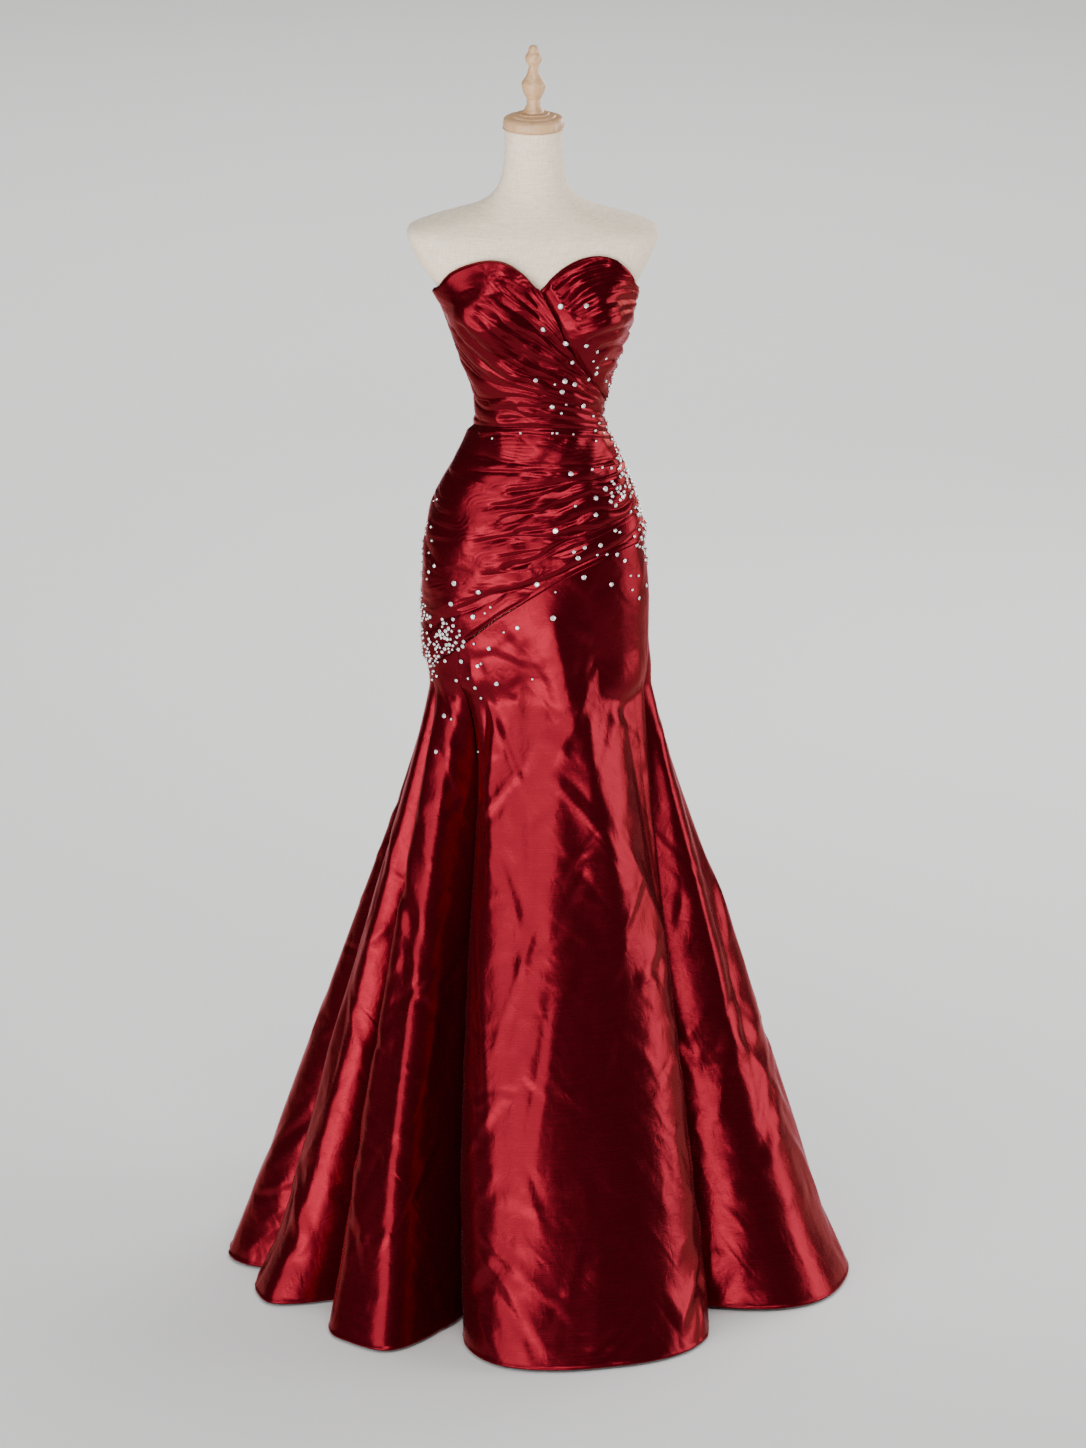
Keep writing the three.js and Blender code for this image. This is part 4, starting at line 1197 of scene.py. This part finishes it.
def turned(name, node, profile):
    """A turned wooden piece, its profile rounded between the points given."""
    rows = [{"at": i, "r": r, "z": z} for i, (r, z) in enumerate(profile)]
    at = np.linspace(1, len(rows) - 2, (len(rows) - 3) * TURNED_STEPS + 1)
    radius, height = along(rows, "at", "r", at), along(rows, "at", "z", at)
    angle = np.arange(TURNED_AROUND) * 2 * math.pi / TURNED_AROUND
    rings = np.stack([radius[:, None] * np.cos(angle), radius[:, None] * np.sin(angle),
                      height[:, None] + 0 * angle], -1)
    piece = capped(name, rings, (0, 0, profile[0][1]), (0, 0, profile[-1][1]))
    claim(piece, node, "beech")


class GOWN_OT_wood(bpy.types.Operator):
    """Turn the neck cap and the finial in wood"""
    bl_idname = "gown.wood"
    bl_label = "Cap and finial"

    def execute(self, context):
        turned("neck_cap_turned", "neck_cap", CAP_PROFILE)
        turned("finial_turned", "finial", FINIAL_PROFILE)
        return {"FINISHED"}


class GOWN_OT_stand(bpy.types.Operator):
    """Finish the pole and the round base, which keep their own shapes"""
    bl_idname = "gown.stand"
    bl_label = "Stand"

    def execute(self, context):
        for node, finish in (("stand_pole", "black_steel"), ("stand_base", "beech")):
            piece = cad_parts[node]
            piece.data.materials.clear()
            piece.data.materials.append(FINISHES[finish])
        return {"FINISHED"}


def wrap_edges():
    """Foot, top and two sides of the wrapped cup; its right side runs on up the neckline to the peak."""
    foot = seam_line(WRAP_FOOT, LEFT_END, RIGHT_END, SLANT_GAP)
    left = chain(
        upright(LEFT_END, height_at(WRAP_FOOT, LEFT_END, SLANT_GAP), height_at(NECKLINE, LEFT_END)),
        seam_line(NECKLINE, LEFT_END, PEAK_ANGLE))
    top = chain(seam_line(NECKLINE, PEAK_ANGLE, NOTCH_ANGLE), seam_line(WRAP_EDGE, NOTCH_ANGLE, RIGHT_END))
    return foot, top, left, upright(RIGHT_END, foot(1)[1], top(1)[1])


def cup_edges():
    """Foot, top and two sides of the cup that goes under the wrap."""
    def wrap_side(t):
        angle = mix(CUP["turn"], NOTCH_ANGLE, np.asarray(t, float))
        return angle + 2 * HALF_SEAM_ANGLE, height_at(WRAP_EDGE, angle, CUP["clear"])

    left = chain(wrap_side)
    start, notch = left(0), left(1)
    corner = (RIGHT_END, height_at(WRAP_EDGE, RIGHT_END, CUP["clear"]))
    neck = chain(seam_line(NECKLINE, NOTCH_ANGLE, RIGHT_END))

    def foot(t):
        return mix(start[0], corner[0], t), mix(start[1], corner[1], t)

    def top(t):
        angle, z = neck(t)
        near = (1 - np.asarray(t, float)) ** 12
        return mix(angle, notch[0], near), mix(z, notch[1], near)

    return foot, top, left, upright(RIGHT_END, corner[1], top(1)[1])


class GOWN_OT_bodice(bpy.types.Operator):
    """Drape the wrapped cup and the cup under it"""
    bl_idname = "gown.bodice"
    bl_label = "Wrap and cup"

    def execute(self, context):
        draped_piece("bodice_wrap", wrap_edges(), WRAP_FOLDS, free_top=True)
        draped_piece("bodice_cup", cup_edges(), CUP_FOLDS)
        return {"FINISHED"}


class GOWN_OT_drapes(bpy.types.Operator):
    """Drape the midriff and the hips"""
    bl_idname = "gown.drapes"
    bl_label = "Midriff and hip drape"

    def execute(self, context):
        for node, low, high, gap, folds in (
                ("midriff", WAIST_SEAM, WRAP_FOOT, SLANT_GAP, MIDRIFF_FOLDS),
                ("hip_drape", HIP_SEAM, WAIST_SEAM, HIP_GAP, HIP_FOLDS)):
            foot = seam_line(low, LEFT_END, RIGHT_END, gap)
            top = seam_line(high, LEFT_END, RIGHT_END, -SLANT_GAP)
            left = upright(LEFT_END, foot(0)[1], top(0)[1])
            right = upright(RIGHT_END, foot(1)[1], top(1)[1])
            draped_piece(node, (foot, top, left, right), folds)
        return {"FINISHED"}


BACKS = table(("node", "side", "cut", "area"), [
    ("bodice_back_right", -1, (0.19, 0.56), 0.089),
    ("bodice_back_left", 1, (0.165, 0.46), 0.064),
])
# A back panel: its rows and columns, the share of the gathers' wrinkles it has, the angle, depth and
# width of its pressed seam, how its relief fades at the edges and how deep it may go
PANEL = {"rows": 150, "columns": 70, "wrinkled": 0.5, "seam": 140, "seam_deep": 0.7, "seam_turn": 0.9,
         "fade": 14, "lowest": -0.9}
# Strain lines at the waist: their height, middle and spread by z and by angle, and mm and degrees to
# a radian of their waves
STRAIN = {"high": 1.1, "z": 1315, "tall": 60, "angle": 110, "turn": 22, "pitch": 8, "slant": 18}
PLACKET = {"width": 13, "foot": 1136, "lift": 0.4, "wall": 1.4, "crown": 0.35, "rows": 120, "columns": 13,
           "cut": (0.015, 0.345)}


class GOWN_OT_back(bpy.types.Operator):
    """Fit the two back panels and the placket over the zip"""
    bl_idname = "gown.back"
    bl_label = "Back panels"

    def execute(self, context):
        for row in BACKS:
            side = row["side"]
            ends = sorted((side * (SIDE_SEAM + HALF_SEAM_ANGLE), side * (180 - HALF_SEAM_ANGLE)))
            angle = np.linspace(*ends, PANEL["columns"])[None, :] + np.zeros((PANEL["rows"], 1))
            v = np.linspace(0, 1, PANEL["rows"])[:, None]
            z = mix(height_at(HIP_SEAM, angle, HIP_GAP), height_at(NECKLINE, angle), v)
            across, turn = arc(on_figure(angle, z, BODY_GAP + WALL), 1), np.abs(angle)
            relief = PANEL["wrinkled"] * scattered(across, z, WRINKLES["seed"] + side, WRINKLES)
            relief -= PANEL["seam_deep"] * np.exp(-((turn - PANEL["seam"]) / PANEL["seam_turn"]) ** 2)
            up, aside = z - STRAIN["z"], turn - STRAIN["angle"]
            strain = np.exp(-(up / STRAIN["tall"]) ** 2) * np.exp(-(aside / STRAIN["turn"]) ** 2)
            wave = np.sin(up / STRAIN["pitch"] + (turn - SIDE_SEAM) / STRAIN["slant"])
            relief += STRAIN["high"] * strain * wave
            relief *= smooth(np.minimum(across, across[:, [-1]] - across) / PANEL["fade"])
            outer = on_figure(angle, z, BODY_GAP + WALL + np.maximum(relief, PANEL["lowest"]))
            inner = on_figure(angle, z, BODY_GAP)
            finish_cloth(row["node"], outer, inner, row["cut"],
                         row["area"])
        z = np.linspace(PLACKET["foot"], height_at(NECKLINE, 180), PLACKET["rows"])[:, None]
        step = np.linspace(-1, 1, PLACKET["columns"])[None, :]
        angle = 180 + step * PLACKET["width"] / 2 / figure_radius(180, z) / RAD
        base = BODY_GAP + WALL + PLACKET["lift"]
        crown = PLACKET["crown"] * (1 - step**4)
        outer = on_figure(angle, z + 0 * step, base + PLACKET["wall"] + crown)
        inner = on_figure(angle, z + 0 * step, base)
        finish_cloth("zip_placket", outer, inner, PLACKET["cut"])
        return {"FINISHED"}


class GOWN_OT_skirt(bpy.types.Operator):
    """Hang the gores of the skirt"""
    bl_idname = "gown.skirt"
    bl_label = "Skirt"

    def execute(self, context):
        for row in GORES:
            gore(row["node"], row["first"], row["last"], row["columns"])
        return {"FINISHED"}


# Beads seen in the photo, by pixel, with their widths in mm
SEEN_COLUMNS = ("right_px", "down_px", "width")
CUPPED_BEADS = table(SEEN_COLUMNS, [
    (559, 306, 6.5), (586, 305, 6.0), (542, 330, 6.0), (566, 344, 6.5), (587, 347, 5.5), (598, 353, 4.5),
    (573, 363, 5.0), (597, 374, 5.5), (566, 381, 6.5), (576, 384, 5.5), (588, 381, 4.5), (562, 393, 5.5),
    (552, 408, 6.0), (584, 407, 6.0), (537, 380, 5.0), (572, 473, 6.0), (596, 497, 6.0), (607, 489, 6.5),
    (555, 530, 6.5), (601, 547, 5.5), (578, 559, 5.5), (585, 579, 6.0), (613, 586, 5.5), (626, 560, 5.0),
    (619, 555, 5.0), (553, 619, 6.5), (516, 630, 5.0), (473, 618, 6.0), (478, 594, 6.0), (536, 586, 6.0),
    (453, 584, 6.5), (451, 605, 6.0), (487, 649, 5.0), (460, 662, 5.5), (477, 667, 4.5), (455, 681, 4.5),
    (495, 684, 5.5), (442, 715, 5.5), (435, 753, 5.0), (475, 690, 4.5), (433, 566, 5.0), (428, 573, 5.0),
    (640, 600, 4.5), (648, 585, 4.5), (586, 547, 4.5), (574, 553, 4.5), (597, 516, 5.0), (616, 532, 4.5),
])
SEED_BEADS = table(SEEN_COLUMNS, [
    (594, 362, 3.0), (607, 359, 3.0), (598, 368, 3.0), (607, 381, 3.2), (555, 386, 3.0), (567, 406, 2.8),
    (562, 415, 3.4), (594, 417, 3.4), (553, 432, 3.0), (558, 434, 3.2), (520, 434, 3.4), (492, 437, 3.0),
    (574, 433, 2.6), (596, 430, 3.4), (597, 440, 3.0), (593, 470, 3.4), (603, 468, 3.4), (612, 469, 3.6),
    (575, 505, 3.6), (621, 532, 3.4), (598, 556, 3.2), (606, 553, 3.4), (556, 594, 2.8), (503, 633, 3.0),
    (473, 646, 3.4), (489, 607, 3.2), (484, 615, 3.0), (479, 664, 3.4), (467, 679, 3.4), (481, 700, 3.6),
    (449, 719, 3.4), (478, 753, 2.6), (531, 679, 3.0), (640, 577, 3.2), (634, 590, 3.0), (611, 401, 3.0),
    (600, 424, 3.0), (604, 432, 2.8), (633, 576, 3.0), (436, 500, 3.4), (430, 528, 3.6), (431, 541, 3.6),
    (428, 553, 3.2), (426, 580, 3.2),
])
# Clusters at both hips and the lines of beads that run up the side seams: middle on the figure, how
# far they spread by angle and by height, how many, and the least and most width in mm
CLUSTERS = table(("angle", "z", "turn", "rise", "count", "least", "most"), [
    (-59, 1000, 3.6, 11, 52, 3.2, 5.6),
    (-65, 982, 3.6, 10, 34, 2.8, 5.2),
    (-72, 962, 4.0, 12, 30, 2.6, 4.8),
    (-84, 1000, 5.0, 24, 46, 2.6, 4.8),
    (-80, 950, 5.0, 14, 24, 2.6, 4.4),
    (-89, 1055, 4.0, 26, 22, 2.6, 4.6),
    (-90, 1130, 4.0, 26, 12, 2.6, 4.4),
    (-104, 975, 8.0, 26, 20, 2.6, 4.4),
    (65, 1209, 5.0, 7, 26, 3.4, 5.4),
    (84, 1216, 5.0, 18, 26, 2.6, 4.6),
    (88, 1176, 5.0, 16, 26, 2.8, 4.8),
    (82, 1140, 7.0, 16, 22, 2.6, 4.8),
    (80, 1262, 3.0, 24, 30, 2.6, 4.6),
    (81, 1332, 3.0, 24, 20, 2.6, 4.6),
    (80, 1386, 3.0, 20, 14, 2.6, 4.6),
    (78, 1236, 3.0, 12, 18, 2.8, 4.8),
    (79, 1160, 4.0, 20, 24, 2.8, 5.0),
    (98, 1300, 5.0, 50, 16, 2.4, 4.2),
    (92, 1102, 6.0, 16, 10, 2.8, 4.2),
    (108, 1180, 7.0, 26, 18, 2.6, 4.4),
])
BEAD_SEED = 5
BEAD_GAP = 0.3         # least gap between two beads
CUPPED_FROM = 4        # in a cluster, beads wider than this may have a cup,
CUPPED_SHARE = 0.7     # and this share of them does
CLUSTER_OFF = 5        # how far off the figure a cluster's beads seek the cloth
FACING = -0.02         # most that a seen bead's cloth may turn from the camera
ABOUT_PX = 1.5         # a bead goes to the nearest cloth within so many pixels of its place


def bead_places():
    """Every bead: its place and the cloth's normal there, its width, and whether it has a cup."""
    points = np.concatenate([surface.reshape(-1, 3) for surface, _ in SURFACES.values()])
    normal = np.concatenate([away.reshape(-1, 3) for _, away in SURFACES.values()])
    right, down, far = seen_at(points)
    tilt = PHOTO["tilt"] * RAD
    facing = normal[:, 1] * math.cos(tilt) - normal[:, 2] * math.sin(tilt) < FACING
    wanted = []
    for rows, cupped in ((CUPPED_BEADS, True), (SEED_BEADS, False)):
        for row in rows:
            miss = np.hypot(right - row["right_px"], down - row["down_px"])
            near = miss + np.where(facing, 0, FAR)
            close = np.flatnonzero(near < near.min() + ABOUT_PX)
            wanted.append((close[np.argmin(far[close])], row["width"], cupped))
    rng = np.random.default_rng(BEAD_SEED)
    for row in CLUSTERS:
        for _ in range(row["count"]):
            angle = row["angle"] + row["turn"] * rng.normal()
            target = on_figure(angle, row["z"] + row["rise"] * rng.normal(), CLUSTER_OFF)
            width = rng.uniform(row["least"], row["most"])
            nearest = np.argmin(((points - target) ** 2).sum(1))
            wanted.append((nearest, width, width > CUPPED_FROM and rng.random() < CUPPED_SHARE))
    placed = []
    for index, width, cupped in wanted:
        apart = [np.linalg.norm(points[index] - other[0]) - (width + other[2]) / 2 for other in placed]
        if not apart or min(apart) > BEAD_GAP:
            placed.append((points[index], normal[index], width, cupped))
    return placed


def scatter_by_nodes(name, places, parts, finish):
    """Sets a small shape on every place by Geometry Nodes, and makes one plain mesh of it."""
    seats = bpy.data.meshes.new(name + "_seats")
    seats.from_pydata([tuple(place[0] * MM) for place in places], [], [])
    turns = [Vector(place[1]).to_track_quat("Z", "Y").to_euler() for place in places]
    seats.attributes.new("turn", "FLOAT_VECTOR", "POINT").data.foreach_set("vector", np.ravel(turns))
    seats.attributes.new("half_width", "FLOAT", "POINT").data.foreach_set(
        "value", [place[2] / 2 * MM for place in places])
    holder = bpy.data.objects.new(name + "_seats", seats)
    bpy.context.scene.collection.objects.link(holder)

    tree = bpy.data.node_groups.new(name + "_nodes", "GeometryNodeTree")
    tree.interface.new_socket("Seats", in_out="INPUT", socket_type="NodeSocketGeometry")
    tree.interface.new_socket("Finish", in_out="INPUT", socket_type="NodeSocketMaterial")
    tree.interface.new_socket("Enlarge", in_out="INPUT", socket_type="NodeSocketFloat")
    tree.interface.new_socket("Beads", in_out="OUTPUT", socket_type="NodeSocketGeometry")
    graph = Graph(tree)
    given, result = graph.add("NodeGroupInput"), graph.add("NodeGroupOutput")
    shape = graph.add("GeometryNodeJoinGeometry")
    for kind, sizes, lift, stretch in parts:
        made = graph.value(graph.add(kind, None, sizes))
        moved = graph.add("GeometryNodeTransform", None, {
            "Geometry": made, "Translation": (0, 0, lift), "Scale": stretch})
        tree.links.new(moved.outputs[0], shape.inputs[0])
    turn, half = (
        graph.value(graph.add("GeometryNodeInputNamedAttribute", {"data_type": kind}, {"Name": attribute}))
        for kind, attribute in (("FLOAT_VECTOR", "turn"), ("FLOAT", "half_width")))
    placed = graph.add("GeometryNodeInstanceOnPoints", None, {
        "Points": graph.value(given, 0), "Instance": graph.value(shape),
        "Rotation": graph.value(graph.add("FunctionNodeEulerToRotation", None, {"Euler": turn})),
        "Scale": half * graph.value(given, 2)})
    solid = graph.add("GeometryNodeRealizeInstances", None, {"Geometry": graph.value(placed)})
    dressed = graph.add("GeometryNodeSetMaterial", None, {
        "Geometry": graph.value(solid), "Material": graph.value(given, 1)})
    graph.plug(result.inputs[0], graph.value(dressed))

    modifier = holder.modifiers.new("beads", "NODES")
    modifier.node_group = tree
    sockets = {item.name: item.identifier for item in tree.interface.items_tree if item.in_out == "INPUT"}
    modifier[sockets["Finish"]] = FINISHES[finish]
    modifier[sockets["Enlarge"]] = bpy.context.scene.gown.bead_scale
    ready = holder.evaluated_get(bpy.context.evaluated_depsgraph_get())
    mesh = bpy.data.meshes.new_from_object(ready)
    mesh.name = name
    bpy.data.objects.remove(holder)
    piece = bpy.data.objects.new(name, mesh)
    bpy.context.scene.collection.objects.link(piece)
    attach(piece, "root")
    return piece


def cone(sides, foot, top, tall, lift):
    """Part of a bead of unit half width: a cone from the radius of its foot to that of its top."""
    sizes = {"Vertices": sides, "Radius Top": top, "Radius Bottom": foot, "Depth": tall}
    return "GeometryNodeMeshCone", sizes, lift, (1, 1, 1)


def ball(segments, rings, lift, stretch):
    return "GeometryNodeMeshUVSphere", {"Segments": segments, "Rings": rings, "Radius": 1.0}, lift, stretch


# Shapes of unit half width that stand on the cloth
CUP_PARTS = [cone(14, 0.72, 1.0, 0.5, -0.05), cone(14, 1.0, 0.80, 0.16, 0.45)]
STONE_PARTS = [cone(8, 0.80, 0.46, 0.34, 0.56)]
BEAD_PARTS = [ball(10, 7, 0.55, (1, 1, 0.8))]
STITCH_PARTS = [ball(6, 4, 0.02, (0.2, 0.9, 0.16))]
STITCH_LONG = 2.1


class GOWN_OT_beads(bpy.types.Operator):
    """Sew on the cupped crystals and the seed beads"""
    bl_idname = "gown.beads"
    bl_label = "Crystals and beads"

    def execute(self, context):
        places = bead_places()
        cupped = [place for place in places if place[3]]
        plain = [place for place in places if not place[3]]
        for name, some, parts, finish in (("crystal_cups", cupped, CUP_PARTS, "silver"),
                                          ("crystal_stones", cupped, STONE_PARTS, "cut_crystal"),
                                          ("seed_beads", plain, BEAD_PARTS, "silver")):
            scatter_by_nodes(name, some, parts, finish)
        return {"FINISHED"}


class GOWN_OT_stitches(bpy.types.Operator):
    """Sew both edges of the placket down"""
    bl_idname = "gown.stitches"
    bl_label = "Placket stitches"

    def execute(self, context):
        surface, away = SURFACES["zip_placket"]
        places = []
        for row in range(2, len(surface) - 2):
            for edge in (1, -2):
                places.append((surface[row, edge], away[row, edge], STITCH_LONG, False))
        scatter_by_nodes("placket_stitches", places, STITCH_PARTS, "crimson_thread")
        return {"FINISHED"}


CLASSES = (GownSettings, StudioSettings, GOWN_OT_stage, GOWN_OT_form, GOWN_OT_wood, GOWN_OT_stand,
           GOWN_OT_bodice, GOWN_OT_drapes, GOWN_OT_back, GOWN_OT_skirt, GOWN_OT_beads, GOWN_OT_stitches)


class GOWN_PT_panel(bpy.types.Panel):
    """Lists the gown's pieces"""
    bl_idname = "GOWN_PT_panel"
    bl_label = "Gown"
    bl_space_type = "VIEW_3D"
    bl_region_type = "UI"
    bl_category = "Gown"

    def draw(self, context):
        for made in CLASSES:
            if issubclass(made, bpy.types.Operator):
                self.layout.operator(made.bl_idname)


def register():
    for made in (*CLASSES, GOWN_PT_panel):
        bpy.utils.register_class(made)
    bpy.types.Scene.gown = bpy.props.PointerProperty(type=GownSettings)
    bpy.types.Scene.studio = bpy.props.PointerProperty(type=StudioSettings)


def unregister():
    del bpy.types.Scene.studio
    del bpy.types.Scene.gown
    for made in reversed((*CLASSES, GOWN_PT_panel)):
        bpy.utils.unregister_class(made)


def main():
    register()
    bpy.ops.gown.stage()
    bpy.ops.gown.form()
    bpy.ops.gown.wood()
    bpy.ops.gown.stand()
    bpy.ops.gown.bodice()
    bpy.ops.gown.drapes()
    bpy.ops.gown.back()
    bpy.ops.gown.skirt()
    bpy.ops.gown.beads()
    bpy.ops.gown.stitches()


if __name__ == "__main__":
    main()
